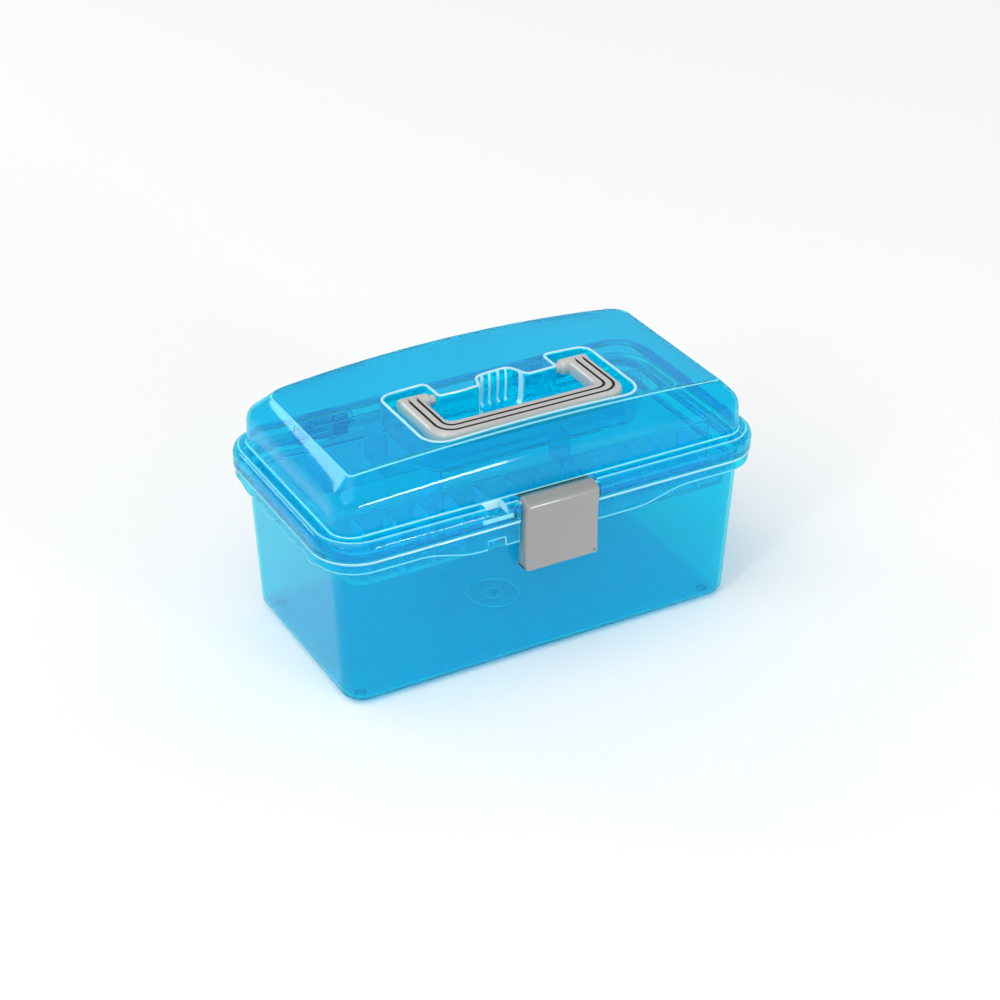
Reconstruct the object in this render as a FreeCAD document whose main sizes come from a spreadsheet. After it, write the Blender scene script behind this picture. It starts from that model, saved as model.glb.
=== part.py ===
import FreeCAD, Part
import math
import os
import Sketcher

# Medicine box: a deep tub, a domed lid with a sunk carrying handle, a snap latch and a lift-out tray.
# Millimetres.  X runs along the length, the latch is at -Y, the hinges at +Y, Z is up from the table.

doc = FreeCAD.newDocument("medicine_box")
sheet = doc.addObject("Spreadsheet::Sheet", "Sizes")

SIZES = [
    # Shared
    ("wall", "2", "thickness of the moulded walls of tub and lid"),
    ("reach", "400", "longer than the box in every direction, for cuts that go right through"),
    ("play", "0.3", "gap between faces that meet without being pressed together"),
    ("running", "0.08", "radial clearance of a bore that turns on a pin"),
    ("held", "0.02", "radial clearance of a bore that holds a pin still"),
    ("past", "1", "how far a cut runs past the face it opens"),
    ("embed", "0.5", "how deep a feature starts inside the one it grows from"),
    # Tub
    ("base_level", "0.6", "underside of the tub floor, above the feet"),
    ("tub_half_length", "126", "half length of the tub at the base"),
    ("tub_half_width", "65.15", "half width of the tub at the base"),
    ("tub_corner", "13", "upright corner radius at the base"),
    ("lean", "0.05", "how far each tub wall leans out for each unit of height"),
    ("base_round", "6.5", "rounding of the bottom edge"),
    ("parting", "99.2", "top of the tub flange"),
    ("lip_height", "3.8", "upstand of the tub wall above the flange"),
    ("flange_half_length", "139", "half length of the tub flange"),
    ("flange_half_width", "75", "half width of the tub flange"),
    ("flange_corner", "25.5", "corner radius of the flange"),
    ("apron_low", "86", "lower edge of the apron in the middle of the long sides"),
    ("apron_high", "92.7", "lower edge of the apron near the ends"),
    ("apron_mid_reach", "54", "where the low part of the apron ends"),
    ("apron_end_reach", "81", "where the high part of the apron begins"),
    ("apron_blend", "12", "radius of the two bends between low and high part"),
    ("wave_pitch", "27.2", "distance between the dips of the end apron"),
    ("wave_first", "9", "third dip behind the middle"),
    ("wave_low", "90.4", "level of the dips of the end apron"),
    ("wave_half", "4", "half width of a dip at its foot"),
    ("wave_slope", "5", "run of each side of a dip"),
    ("wave_round", "3", "radius of the bends of a dip"),
    ("apron_clear", "3", "how far the cuts in the apron start below it"),
    ("lip_gap", "1", "gap between the lid cheeks and the tub lip"),
    ("ledge_low", "90.8", "underside of the inner ledge that carries the tray"),
    ("ledge_top", "92.8", "top of the inner ledge that carries the tray"),
    ("ledge_half_length", "125.2", "half length of the opening inside the ledge"),
    ("ledge_half_width", "64.9", "half width of the opening inside the ledge"),
    ("foot_radius", "3.3", "radius of a foot"),
    ("foot_reach_length", "114.2", "foot centres from the middle, lengthwise"),
    ("foot_reach_width", "52.6", "foot centres from the middle, crosswise"),
    ("gate_radius", "16", "outer radius of the ring moulded on the floor"),
    ("gate_width", "1.6", "width of that ring"),
    ("gate_height", "0.7", "height of that ring"),
    ("catch_half", "9", "half length of the catch the latch hooks under"),
    ("catch_low", "80", "underside of the catch"),
    ("catch_top", "83.2", "top of the catch"),
    ("catch_front", "74", "how far forward the catch reaches"),
    ("shackle_middle", "39.2", "padlock eye, distance left of the middle"),
    ("shackle_depth", "71.9", "padlock eye, distance in front of the middle"),
    ("shackle_radius", "2.4", "radius of the padlock hole"),
    ("apron_notch_half", "5.5", "half width of the notch in the apron under the padlock eye"),
    ("apron_notch_top", "91.4", "top of that notch"),
    # Lid
    ("rim_low", "99.5", "lower edge of the lid rim"),
    ("rim_half_length", "140", "half length of the lid rim"),
    ("rim_half_width", "76", "half width of the lid rim"),
    ("rim_corner", "26.5", "corner radius of the lid rim"),
    ("ledge_level", "111.8", "top of the flat ledge round the dome"),
    ("rim_round", "5", "rounding between rim and ledge"),
    ("dome_half_length", "130.3", "half length of the dome at its foot"),
    ("dome_half_width", "66.5", "half width of the dome at its foot"),
    ("dome_corner", "12.8", "upright corner radius of the dome"),
    ("dome_foot_draft", "0.1", "how much each dome wall leans in just below its foot"),
    ("dome_draft", "0.5", "how much each dome wall leans in up to the bend"),
    ("dome_bend", "130.6", "level where wall and shoulder planes meet"),
    ("dome_bend_round", "10", "radius of that bend"),
    ("crease_half_length", "118", "crease between end shoulder and top, from the middle"),
    ("crease_level", "142.5", "level of the top at its four corners"),
    ("crown", "6.5", "rise of the top from its ends to the middle"),
    ("top_clear", "156", "above everything"),
    ("shoulder_end_over", "39.5", "long shoulder plane carried up to that level at the lid ends"),
    ("shoulder_mid_over", "54", "long shoulder plane carried up to that level halfway along"),
    ("section_reach", "4", "how far the end sections of the long shoulders stand past the dome"),
    ("shoulder_run", "14", "how far the end shoulder cut is carried on past the crease"),
    ("shoulder_clear", "12", "how far the long shoulder cuts reach outside the dome"),
    ("bend_drop", "0.4", "how far the bend sinks in the hollow, as a share of the wall"),
    ("crease_shift", "0.83", "how far the shoulders shift in for the hollow, as a share of the wall"),
    ("arch_reach", "20", "how far the arch is carried on past the end creases"),
    # Padlock eye of the lid
    ("eye_half", "8", "half length of the padlock eye"),
    ("eye_pocket_half", "6", "half length of its pocket"),
    ("eye_low", "103.8", "underside of the padlock eye, clear of the tub lip"),
    ("eye_floor", "106.8", "floor of its pocket"),
    ("eye_margin", "0.6", "gap between the pocket and the dome"),
    # Handle well
    ("well_floor", "129", "floor of the well"),
    ("well_half", "67", "half length of the well"),
    ("well_front", "51.5", "front wall of the well"),
    ("well_back", "11.5", "back wall of the two pivot pockets"),
    ("well_front_corner", "13", "corner radius of the well in front"),
    ("well_back_corner", "6", "corner radius of the well at the back"),
    ("block_half", "39", "half length of the block between the pivot pockets"),
    ("block_front", "6.5", "front face of that block"),
    ("scoop_half", "9.5", "half length of the finger scoop at its back"),
    ("scoop_mouth", "13.5", "half length of the finger scoop at its mouth"),
    ("scoop_back", "5", "back wall of the finger scoop"),
    ("small_round", "2", "radius of the small upright corners"),
    # Handle
    ("pivot_level", "143.7", "height of the handle pivots"),
    ("pivot_radius", "3", "radius of the handle pivots"),
    ("pivot_in", "35.6", "inner end of a pivot, from the middle"),
    ("stub_in", "42.2", "inner end of the thick stub of an arm"),
    ("stub_radius", "4.45", "radius of that stub"),
    ("boss_radius", "4.2", "radius of the boss that backs a pivot hole"),
    ("boss_in", "33.4", "inner end of that boss"),
    ("grip_low", "139", "underside of the handle"),
    ("grip_top", "148.4", "top of the handle"),
    ("grip_outer", "61", "outer side of an arm"),
    ("grip_inner", "47", "inner side of an arm"),
    ("grip_front", "49", "front of the bar"),
    ("grip_back", "33", "back of the bar"),
    ("grip_corner", "13", "outer corner radius"),
    ("grip_inner_corner", "4", "inner corner radius"),
    ("grip_edge", "1.6", "rounding of the long edges"),
    ("groove_one", "4", "outer groove, distance from the outer side"),
    ("groove_two", "9", "inner groove, distance from the outer side"),
    ("groove_width", "1.3", "width of a groove"),
    ("groove_depth", "1", "depth of a groove"),
    # Hinges
    ("hinge_depth", "75.8", "hinge axis behind the middle"),
    ("hinge_level", "99.35", "height of the hinge axis"),
    ("hinge_middle", "75", "middle of a hinge from the middle of the box"),
    ("knuckle_radius", "4.2", "radius of a knuckle"),
    ("lid_knuckle_half", "8", "half length of the lid knuckle"),
    ("tub_knuckle_in", "8.4", "inner end of a tub knuckle"),
    ("tub_knuckle_out", "16.4", "outer end of a tub knuckle"),
    ("hinge_pin_radius", "1.5", "radius of a hinge pin"),
    ("hinge_pin_half", "16", "half length of a hinge pin"),
    ("knuckle_room", "4.7", "room kept round a knuckle in the other part"),
    ("web_outer", "2.7", "height of the lid knuckle web above the axis, at its outer end"),
    ("web_inner", "8", "height of the lid knuckle web above the axis, at the rim"),
    # Latch
    ("notch_half", "25", "half length of the notch for the latch"),
    ("notch_back", "68.4", "back wall of the notch in the lid"),
    ("cheek", "2.5", "thickness of the notch cheeks that hold the latch pin"),
    ("latch_half", "23.5", "half length of the latch"),
    ("latch_front", "80", "front face of the latch"),
    ("latch_low", "68", "lower edge of the latch"),
    ("latch_ridge", "111.4", "level of the ridge at the top of the front face"),
    ("latch_axis_depth", "72.5", "latch pin in front of the middle"),
    ("latch_axis_level", "109.3", "height of the latch pin"),
    ("latch_barrel", "3.6", "radius of the barrel round the pin"),
    ("latch_sheet", "2", "thickness of the latch"),
    ("latch_heel", "1.5", "heel of the latch side, behind the pin"),
    ("latch_heel_drop", "3", "heel of the latch side, below the pin"),
    ("latch_throat", "2.5", "extra thickness of the latch under its ridge"),
    ("latch_lip_round", "1.2", "rounding of the lower front edge of the latch"),
    ("latch_air", "0.6", "gap between the latch sides and the tub wall"),
    ("latch_pin_radius", "1.1", "radius of the latch pin"),
    ("latch_pin_half", "27.2", "half length of the latch pin"),
    ("hook_half", "7", "half length of the hook"),
    ("hook_low", "77.2", "underside of the hook"),
    ("hook_tip", "71.2", "how near the hook comes to the tub"),
    # Tray
    ("tray_low", "78", "underside of the tray"),
    ("tray_sheet", "1.6", "thickness of the tray walls"),
    ("tray_half_length", "122.5", "half length of the tray"),
    ("tray_half_width", "63", "half width of the tray"),
    ("tray_corner", "10", "corner radius of the tray"),
    ("tray_flange_half_length", "127", "half length of the tray flange"),
    ("tray_flange_half_width", "66.6", "half width of the tray flange"),
    ("tray_flange_sheet", "1.5", "thickness of the tray flange"),
    ("tray_flange_corner", "14", "corner radius of the tray flange"),
    ("spine_front", "40", "front spine wall, in front of the middle"),
    ("spine_back", "35", "back spine wall, behind the middle"),
    ("spine_top", "108.5", "top of the spine walls"),
    ("fin_top", "106.5", "top of the fins at the spine"),
    ("fin_low", "95.5", "top of the fins at the tray edge"),
    ("fin_pitch", "19.25", "distance between fins"),
    ("fin_first", "4.9", "first fin right of the middle"),
    ("fin_flat_end", "8", "where the slope of a fin begins, inside the tray edge"),
    ("fin_bend", "6", "radius where the slope of a fin begins"),
    ("fin_toe", "3", "radius at the low end of a fin"),
    ("strap_half", "43.4", "half length of the tray handle"),
    ("strap_top", "112.7", "top of the tray handle"),
    ("strap_sheet", "2", "thickness of the tray handle"),
    ("strap_front", "14.3", "front edge of the tray handle"),
    ("strap_back", "9", "back edge of the tray handle"),
    ("strap_corner", "10", "bend of the tray handle"),
    ("strap_foot", "8", "length of the feet of the tray handle"),
]

values = {}
for row, (alias, text, note) in enumerate(SIZES, start=1):
    sheet.set("A%d" % row, note)
    sheet.set("B%d" % row, text)
    sheet.setAlias("B%d" % row, alias)
    values[alias] = float(text)
doc.recompute()


def term(word):
    """Number for one word of a length: a size, a number, or two of them joined by * or /."""
    if word.startswith("-"):
        return -term(word[1:])
    if "*" in word:
        left, right = word.split("*")
        return term(left) * term(right)
    if "/" in word:
        left, right = word.split("/")
        return term(left) / term(right)
    if word in values:
        return values[word]
    return float(word)


def number(text):
    """Number for words joined by ' + ' and ' - '."""
    total = 0.0
    sign = 1.0
    for word in text.split():
        if word == "+":
            sign = 1.0
        elif word == "-":
            sign = -1.0
        else:
            total += sign * term(word)
    return total


def bound(text):
    """The same words as an expression on the sheet."""
    out = text
    for alias in sorted(values, key=len, reverse=True):
        out = replace_word(out, alias)
    return out


def replace_word(text, alias):
    """Put the sheet name before each whole occurrence of an alias."""
    pieces = []
    word = ""
    for letter in text + " ":
        if letter.isalnum() or letter in "_.":
            word += letter
            continue
        pieces.append("Sizes." + word if word == alias else word)
        pieces.append(letter)
        word = ""
    return "".join(pieces).strip()


def body(label):
    made = doc.addObject("PartDesign::Body", label)
    made.Label = label
    return made


def sketch_on(part, name, role, offset="0"):
    """Empty sketch on an origin plane of its body, moved along the plane normal."""
    made = part.newObject("Sketcher::SketchObject", name)
    plane = [item for item in part.Origin.OriginFeatures if item.Role == role][0]
    made.AttachmentSupport = (plane, "")
    made.MapMode = "FlatFace"
    made.setExpression("AttachmentOffset.Base.z", bound(offset))
    return made


def pin_point(sketch, geometry, across, up):
    """Fix the first point of a piece of geometry by two lengths from the origin."""
    for kind, text in (("DistanceX", across), ("DistanceY", up)):
        index = sketch.addConstraint(Sketcher.Constraint(kind, -1, 1, geometry, 1, number(text)))
        sketch.setExpression("Constraints[%d]" % index, bound(text))


def circle(sketch, across, up, radius):
    middle = FreeCAD.Vector(number(across), number(up), 0)
    ring = sketch.addGeometry(Part.Circle(middle, FreeCAD.Vector(0, 0, 1), number(radius)), False)
    for kind, text in (("DistanceX", across), ("DistanceY", up)):
        index = sketch.addConstraint(Sketcher.Constraint(kind, -1, 1, ring, 3, number(text)))
        sketch.setExpression("Constraints[%d]" % index, bound(text))
    index = sketch.addConstraint(Sketcher.Constraint("Radius", ring, number(radius)))
    sketch.setExpression("Constraints[%d]" % index, bound(radius))


def outline(sketch, corners):
    """Closed outline through corners (across, up, radius); a radius of "0" leaves the corner sharp."""
    count = len(corners)
    points = [FreeCAD.Vector(number(a), number(b), 0) for a, b, c in corners]
    radii = [number(c) for a, b, c in corners]
    entry, leave, middles, turns = [], [], [], []
    for i in range(count):
        back = (points[i - 1] - points[i]).normalize()
        onward = (points[(i + 1) % count] - points[i]).normalize()
        turns.append((back * -1).cross(onward).z)
        if radii[i] == 0:
            entry.append(points[i])
            leave.append(points[i])
            middles.append(None)
            continue
        half = back.getAngle(onward) / 2
        run = radii[i] / math.tan(half)
        entry.append(points[i] + back * run)
        leave.append(points[i] + onward * run)
        middles.append(points[i] + (back + onward).normalize() * (radii[i] / math.sin(half)))
    lines = []
    for i in range(count):
        segment = Part.LineSegment(leave[i], entry[(i + 1) % count])
        lines.append(sketch.addGeometry(segment, False))
    for i in range(count):
        before, after = lines[i - 1], lines[i]
        if radii[i] == 0:
            sketch.addConstraint(Sketcher.Constraint("Coincident", before, 2, after, 1))
            pin_point(sketch, after, corners[i][0], corners[i][1])
            continue
        first, last = (entry[i], leave[i]) if turns[i] > 0 else (leave[i], entry[i])
        start = math.atan2(first.y - middles[i].y, first.x - middles[i].x)
        end = math.atan2(last.y - middles[i].y, last.x - middles[i].x)
        if end < start:
            end += 2 * math.pi
        ring = Part.Circle(middles[i], FreeCAD.Vector(0, 0, 1), radii[i])
        arc = sketch.addGeometry(Part.ArcOfCircle(ring, start, end), False)
        near, far = (1, 2) if turns[i] > 0 else (2, 1)
        sketch.addConstraint(Sketcher.Constraint("Tangent", before, 2, arc, near))
        sketch.addConstraint(Sketcher.Constraint("Tangent", after, 1, arc, far))
        index = sketch.addConstraint(Sketcher.Constraint("Radius", arc, radii[i]))
        sketch.setExpression("Constraints[%d]" % index, bound(corners[i][2]))
        mark = sketch.addGeometry(Part.Point(points[i]), True)
        sketch.addConstraint(Sketcher.Constraint("PointOnObject", mark, 1, before))
        sketch.addConstraint(Sketcher.Constraint("PointOnObject", mark, 1, after))
        pin_point(sketch, mark, corners[i][0], corners[i][1])


def box_corners(left, right, low, high, radius="0"):
    return [(left, low, radius), (right, low, radius), (right, high, radius), (left, high, radius)]


def minus(text):
    """The same length with its sign turned."""
    words = text.split()
    turned = ["-" + words[0]]
    for word in words[1:]:
        turned.append({"+": "-", "-": "+"}.get(word, word))
    return " ".join(turned).replace("--", "")


def even_box(half_across, half_up, radius):
    return box_corners(minus(half_across), half_across, minus(half_up), half_up, radius)


def pad(part, name, sketch, length, taper=None, middle=False):
    made = part.newObject("PartDesign::Pad", name)
    made.Profile = sketch
    made.setExpression("Length", bound(length))
    if taper:
        made.setExpression("TaperAngle", bound(taper))
    if middle:
        made.SideType = "Symmetric"
    return made


def pocket(part, name, sketch, length, middle=False, taper=None):
    """Cut along the plane normal from the sketch, or to both sides of it."""
    made = part.newObject("PartDesign::Pocket", name)
    made.Profile = sketch
    made.setExpression("Length", bound(length))
    if taper:
        made.setExpression("TaperAngle", bound(taper))
    if middle:
        made.SideType = "Symmetric"
    else:
        made.Reversed = True
    return made


def block(part, name, role, offset, corners, length, cut=False, middle=False):
    """Sketch an outline and pad or cut it in one go."""
    drawn = sketch_on(part, name + "_sketch", role, offset)
    outline(drawn, corners)
    return (pocket if cut else pad)(part, name, drawn, length, middle=middle)


def disc(part, name, role, offset, across, up, radius, length, cut=False, middle=False):
    drawn = sketch_on(part, name + "_sketch", role, offset)
    circle(drawn, across, up, radius)
    return (pocket if cut else pad)(part, name, drawn, length, middle=middle)


def round_edges(part, name, feature, radius, wanted):
    """Fillet those edges of a feature whose box passes the test."""
    doc.recompute()
    names = []
    for index, edge in enumerate(feature.Shape.Edges, start=1):
        if wanted(edge.BoundBox):
            names.append("Edge%d" % index)
    made = part.newObject("PartDesign::Fillet", name)
    made.Base = (feature, names)
    made.setExpression("Radius", bound(radius))
    return made


# Tub

tub = body("tub")
skirt = sketch_on(tub, "skirt_sketch", "XY_Plane", "apron_low")
outline(skirt, even_box("flange_half_length", "flange_half_width", "flange_corner"))
pad(tub, "skirt", skirt, "parting - apron_low")
under = sketch_on(tub, "under_sketch", "XY_Plane", "apron_low")
outline(under, even_box("flange_half_length - wall", "flange_half_width - wall", "flange_corner - wall"))
pocket(tub, "under", under, "parting - wall - apron_low")

# The apron is low in the middle of the long sides and rises in an S towards each end.
for side, name in (("-", "left"), ("", "right")):
    block(tub, "apron_rise_" + name, "XZ_Plane", "0", [
        (side + "apron_mid_reach", "apron_low - apron_clear", "0"),
        (side + "apron_mid_reach", "apron_low", "apron_blend"),
        (side + "apron_end_reach", "apron_high", "apron_blend"),
        (side + "reach", "apron_high", "0"),
        (side + "reach", "apron_low - apron_clear", "0"),
    ], "reach", cut=True, middle=True)

# Both ends of the apron dip in shallow waves.
for side, start in (("left", "-flange_half_length"), ("right", "flange_half_length - wall")):
    for step in range(-2, 2):
        middle = "wave_first + wave_pitch*%d" % step
        block(tub, "wave_%s_%d" % (side, step + 2), "YZ_Plane", start, [
            (middle + " - wave_half - wave_slope", "apron_high + play", "0"),
            (middle + " - wave_half", "wave_low", "wave_round"),
            (middle + " + wave_half", "wave_low", "wave_round"),
            (middle + " + wave_half + wave_slope", "apron_high + play", "0"),
        ], "wall")

wall_sketch = sketch_on(tub, "wall_sketch", "XY_Plane", "base_level")
outline(wall_sketch, even_box("tub_half_length", "tub_half_width", "tub_corner"))
walls = pad(tub, "walls", wall_sketch, "parting + lip_height - base_level", taper="atan(lean)")
round_edges(tub, "base_rounding", walls, "base_round",
            lambda box: box.ZMax < number("base_level") + 0.01)

inside = sketch_on(tub, "inside_sketch", "XY_Plane", "base_level + wall")
outline(inside, even_box("tub_half_length - wall", "tub_half_width - wall", "tub_corner - wall"))
hollow = pocket(tub, "inside", inside, "reach", taper="atan(lean)")
round_edges(tub, "floor_rounding", hollow, "base_round - wall",
            lambda box: abs(box.ZMax - number("base_level + wall")) < 0.01
            and abs(box.ZMin - number("base_level + wall")) < 0.01)

# The tray rests on a ledge that runs round the inside just below the flange.
ledge = sketch_on(tub, "ledge_sketch", "XY_Plane", "ledge_low")
outline(ledge, even_box("tub_half_length + lean*ledge_low - wall/2",
                        "tub_half_width + lean*ledge_low - wall/2", "tub_corner"))
outline(ledge, even_box("ledge_half_length", "ledge_half_width", "tub_corner"))
pad(tub, "ledge", ledge, "ledge_top - ledge_low")

# Notches in front: one for the latch, one under the padlock eye.
block(tub, "latch_notch", "XY_Plane", "apron_low - past", box_corners(
    "-notch_half", "notch_half", "-reach", "-tub_half_width - lean*parting - play"),
    "parting + past - apron_low + lip_height", cut=True)
block(tub, "lip_notch", "XY_Plane", "parting", box_corners(
    "-notch_half - cheek - lip_gap", "notch_half + cheek + lip_gap", "-reach", "-ledge_half_width"),
    "lip_height + past", cut=True)
block(tub, "apron_notch", "XZ_Plane", "flange_half_width - wall - play", box_corners(
    "-shackle_middle - apron_notch_half", "-shackle_middle + apron_notch_half",
    "apron_low - apron_clear", "apron_notch_top", "small_round"), "wall + past", cut=True)
disc(tub, "padlock_hole", "XY_Plane", "parting - wall - past", "-shackle_middle", "-shackle_depth",
     "shackle_radius", "wall + past*2", cut=True)
block(tub, "catch", "XY_Plane", "catch_low", box_corners(
    "-catch_half", "catch_half", "-catch_front", "-tub_half_width - lean*catch_low + wall/2"),
    "catch_top - catch_low")

gate = sketch_on(tub, "gate_sketch", "XY_Plane", "base_level + wall")
circle(gate, "0", "0", "gate_radius")
circle(gate, "0", "0", "gate_radius - gate_width")
pad(tub, "gate_ring", gate, "gate_height")
feet = sketch_on(tub, "feet_sketch", "XY_Plane", "0")
for along in ("-foot_reach_length", "foot_reach_length"):
    for across in ("-foot_reach_width", "foot_reach_width"):
        circle(feet, along, across, "foot_radius")
pad(tub, "feet", feet, "base_level + wall/2")

HINGES = (("left", "-hinge_middle"), ("right", "hinge_middle"))
for name, middle in HINGES:
    block(tub, "knuckle_room_" + name, "YZ_Plane", middle + " - tub_knuckle_in", box_corners(
        "hinge_depth - knuckle_room", "reach", "hinge_level - knuckle_room - embed",
        "parting + knuckle_room*2"), "tub_knuckle_in*2", cut=True)
    for end, start in (("a", middle + " - tub_knuckle_out"), ("b", middle + " + tub_knuckle_in")):
        block(tub, "hinge_web_" + name + end, "YZ_Plane", start, [
            ("flange_half_width - wall", "apron_high - wall", "0"),
            ("flange_half_width", "apron_high - wall", "0"),
            ("hinge_depth + knuckle_radius", "hinge_level - knuckle_radius", "0"),
            ("hinge_depth + knuckle_radius", "hinge_level", "0"),
            ("flange_half_width - wall", "hinge_level", "0"),
        ], "tub_knuckle_out - tub_knuckle_in")
        disc(tub, "hinge_barrel_" + name + end, "YZ_Plane", start, "hinge_depth", "hinge_level",
             "knuckle_radius", "tub_knuckle_out - tub_knuckle_in")
    disc(tub, "hinge_bore_" + name, "YZ_Plane", middle + " - tub_knuckle_out - past", "hinge_depth",
         "hinge_level", "hinge_pin_radius + held", "tub_knuckle_out*2 + past*2", cut=True)

# Lid

def dome(part, inset, low):
    """Arched top with slanting shoulders; inset makes the same shape smaller for the hollow."""
    plan = sketch_on(part, part.Label + "_plan", "XY_Plane", low)
    outline(plan, even_box("dome_half_length - " + inset, "dome_half_width - " + inset,
                           "dome_corner - " + inset))
    pad(part, part.Label + "_block", plan, "top_clear - " + low)
    for side, name in (("", "right"), ("-", "left")):
        def across(text):
            return minus(text) if side else text
        # End shoulder
        block(part, part.Label + "_end_" + name, "XZ_Plane", "0", [
            (across("dome_half_length - dome_foot_draft - " + inset), low + " - past", "0"),
            (across("dome_half_length - dome_draft - " + inset), "dome_bend - bend_drop*" + inset,
             "dome_bend_round - " + inset),
            (across("crease_half_length - crease_shift*" + inset), "crease_level - " + inset, "0"),
            (across("crease_half_length - shoulder_run - crease_shift*" + inset),
             "crease_level + shoulder_run - " + inset, "0"),
            (across("reach"), "crease_level + shoulder_run - " + inset, "0"),
            (across("reach"), low + " - past", "0"),
        ], "reach", cut=True, middle=True)
    # Long shoulders, steeper halfway along than at the ends
    for side, name in (("", "back"), ("-", "front")):
        def across(text):
            return minus(text) if side else text
        sections = []
        for place, offset, over in (
                ("start", "-dome_half_length - section_reach", "shoulder_end_over"),
                ("mid", "0", "shoulder_mid_over"),
                ("end", "dome_half_length + section_reach", "shoulder_end_over")):
            drawn = sketch_on(part, part.Label + "_long_" + name + "_" + place, "YZ_Plane", offset)
            outline(drawn, [
                (across("dome_half_width - dome_foot_draft - " + inset), low + " - past", "0"),
                (across("dome_half_width - dome_draft - " + inset), "dome_bend - bend_drop*" + inset,
                 "dome_bend_round - " + inset),
                (across(over + " - crease_shift*" + inset), "top_clear - " + inset, "0"),
                (across("dome_half_width + shoulder_clear"), "top_clear - " + inset, "0"),
                (across("dome_half_width + shoulder_clear"), low + " - past", "0"),
            ])
            sections.append(drawn)
        cut = part.newObject("PartDesign::SubtractiveLoft", part.Label + "_long_" + name)
        cut.Profile = sections[0]
        cut.Sections = sections[1:]
    # Arched top
    crown = sketch_on(part, part.Label + "_crown", "XZ_Plane", "0")
    arch(crown, inset)
    pocket(part, part.Label + "_arch", crown, "reach", middle=True)


def arch(sketch, inset):
    """Region above the arched top, closed far above it."""
    half = "crease_half_length + arch_reach"
    over = number("top_clear + past")
    radius = crown_radius()
    middle = FreeCAD.Vector(0, number("crease_level + crown - " + inset) - radius, 0)
    tilt = math.acos(number(half) / radius)
    right = middle + FreeCAD.Vector(math.cos(tilt), math.sin(tilt), 0) * radius
    left = FreeCAD.Vector(-right.x, right.y, 0)
    ring = Part.Circle(middle, FreeCAD.Vector(0, 0, 1), radius)
    arc = sketch.addGeometry(Part.ArcOfCircle(ring, tilt, math.pi - tilt), False)
    rise = sketch.addGeometry(Part.LineSegment(right, FreeCAD.Vector(right.x, over, 0)), False)
    roof = sketch.addGeometry(Part.LineSegment(FreeCAD.Vector(right.x, over, 0),
                                               FreeCAD.Vector(left.x, over, 0)), False)
    fall = sketch.addGeometry(Part.LineSegment(FreeCAD.Vector(left.x, over, 0), left), False)
    for near, near_end, far, far_end in ((rise, 2, roof, 1), (roof, 2, fall, 1),
                                         (arc, 1, rise, 1), (fall, 2, arc, 2)):
        sketch.addConstraint(Sketcher.Constraint("Coincident", near, near_end, far, far_end))
    pin_point(sketch, roof, half, "top_clear + past")
    sketch.addConstraint(Sketcher.Constraint("Horizontal", roof))
    sketch.addConstraint(Sketcher.Constraint("Vertical", rise))
    sketch.addConstraint(Sketcher.Constraint("Vertical", fall))
    circle_rule = "(Sizes.crease_half_length^2 + Sizes.crown^2) / (2 * Sizes.crown)"
    sketch.addConstraint(Sketcher.Constraint("DistanceX", -1, 1, arc, 3, 0.0))
    index = sketch.addConstraint(Sketcher.Constraint("Radius", arc, radius))
    sketch.setExpression("Constraints[%d]" % index, circle_rule)
    index = sketch.addConstraint(Sketcher.Constraint("DistanceY", -1, 1, arc, 3, middle.y))
    sketch.setExpression("Constraints[%d]" % index,
                         bound("crease_level + crown - " + inset) + " - " + circle_rule)


def crown_radius():
    half = number("crease_half_length")
    rise = number("crown")
    return (half * half + rise * rise) / (2 * rise)


def well_corners(grow):
    """Outline of the handle well, or of the walls round it when grow is a wall thickness."""
    half = [
        ("scoop_half + " + grow, "scoop_back + " + grow, "small_round"),
        ("scoop_mouth + " + grow, "-block_front + " + grow, "small_round"),
        ("block_half - " + grow, "-block_front + " + grow, "small_round"),
        ("block_half - " + grow, "well_back + " + grow, "small_round"),
        ("well_half + " + grow, "well_back + " + grow, "well_back_corner"),
        ("well_half + " + grow, "-well_front - " + grow, "well_front_corner"),
    ]
    other = [(minus(a), b, c) for a, b, c in reversed(half)]
    return half + other


lid = body("lid")
dome(lid, "0", "ledge_level - wall")
rim = sketch_on(lid, "rim_sketch", "XY_Plane", "rim_low")
outline(rim, even_box("rim_half_length", "rim_half_width", "rim_corner"))
rim_pad = pad(lid, "rim", rim, "ledge_level - rim_low")
round_edges(lid, "rim_rounding", rim_pad, "rim_round",
            lambda box: abs(box.ZMax - number("ledge_level")) < 0.01
            and abs(box.ZMin - number("ledge_level")) < 0.01
            and (max(abs(box.XMin), abs(box.XMax)) > number("dome_half_length + past")
                 or max(abs(box.YMin), abs(box.YMax)) > number("dome_half_width + past")))

void = body("lid_hollow")
dome(void, "wall", "ledge_level - wall - past")
block(void, "well_walls", "XY_Plane", "well_floor - wall", well_corners("wall"), "reach", cut=True)
skirt_void = sketch_on(void, "skirt_void_sketch", "XY_Plane", "rim_low - past")
outline(skirt_void, even_box("rim_half_length - wall", "rim_half_width - wall", "rim_corner - wall"))
skirt_pad = pad(void, "skirt_void", skirt_void, "ledge_level - wall - rim_low + past")
round_edges(void, "skirt_void_rounding", skirt_pad, "rim_round - wall",
            lambda box: abs(box.ZMax - number("ledge_level - wall")) < 0.01
            and abs(box.ZMin - number("ledge_level - wall")) < 0.01
            and (max(abs(box.XMin), abs(box.XMax)) > number("dome_half_length + past")
                 or max(abs(box.YMin), abs(box.YMax)) > number("dome_half_width + past")))
doc.recompute()
hollow_cut = lid.newObject("PartDesign::Boolean", "hollow_cut")
hollow_cut.Type = "Cut"
hollow_cut.setObjects([void])

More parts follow.
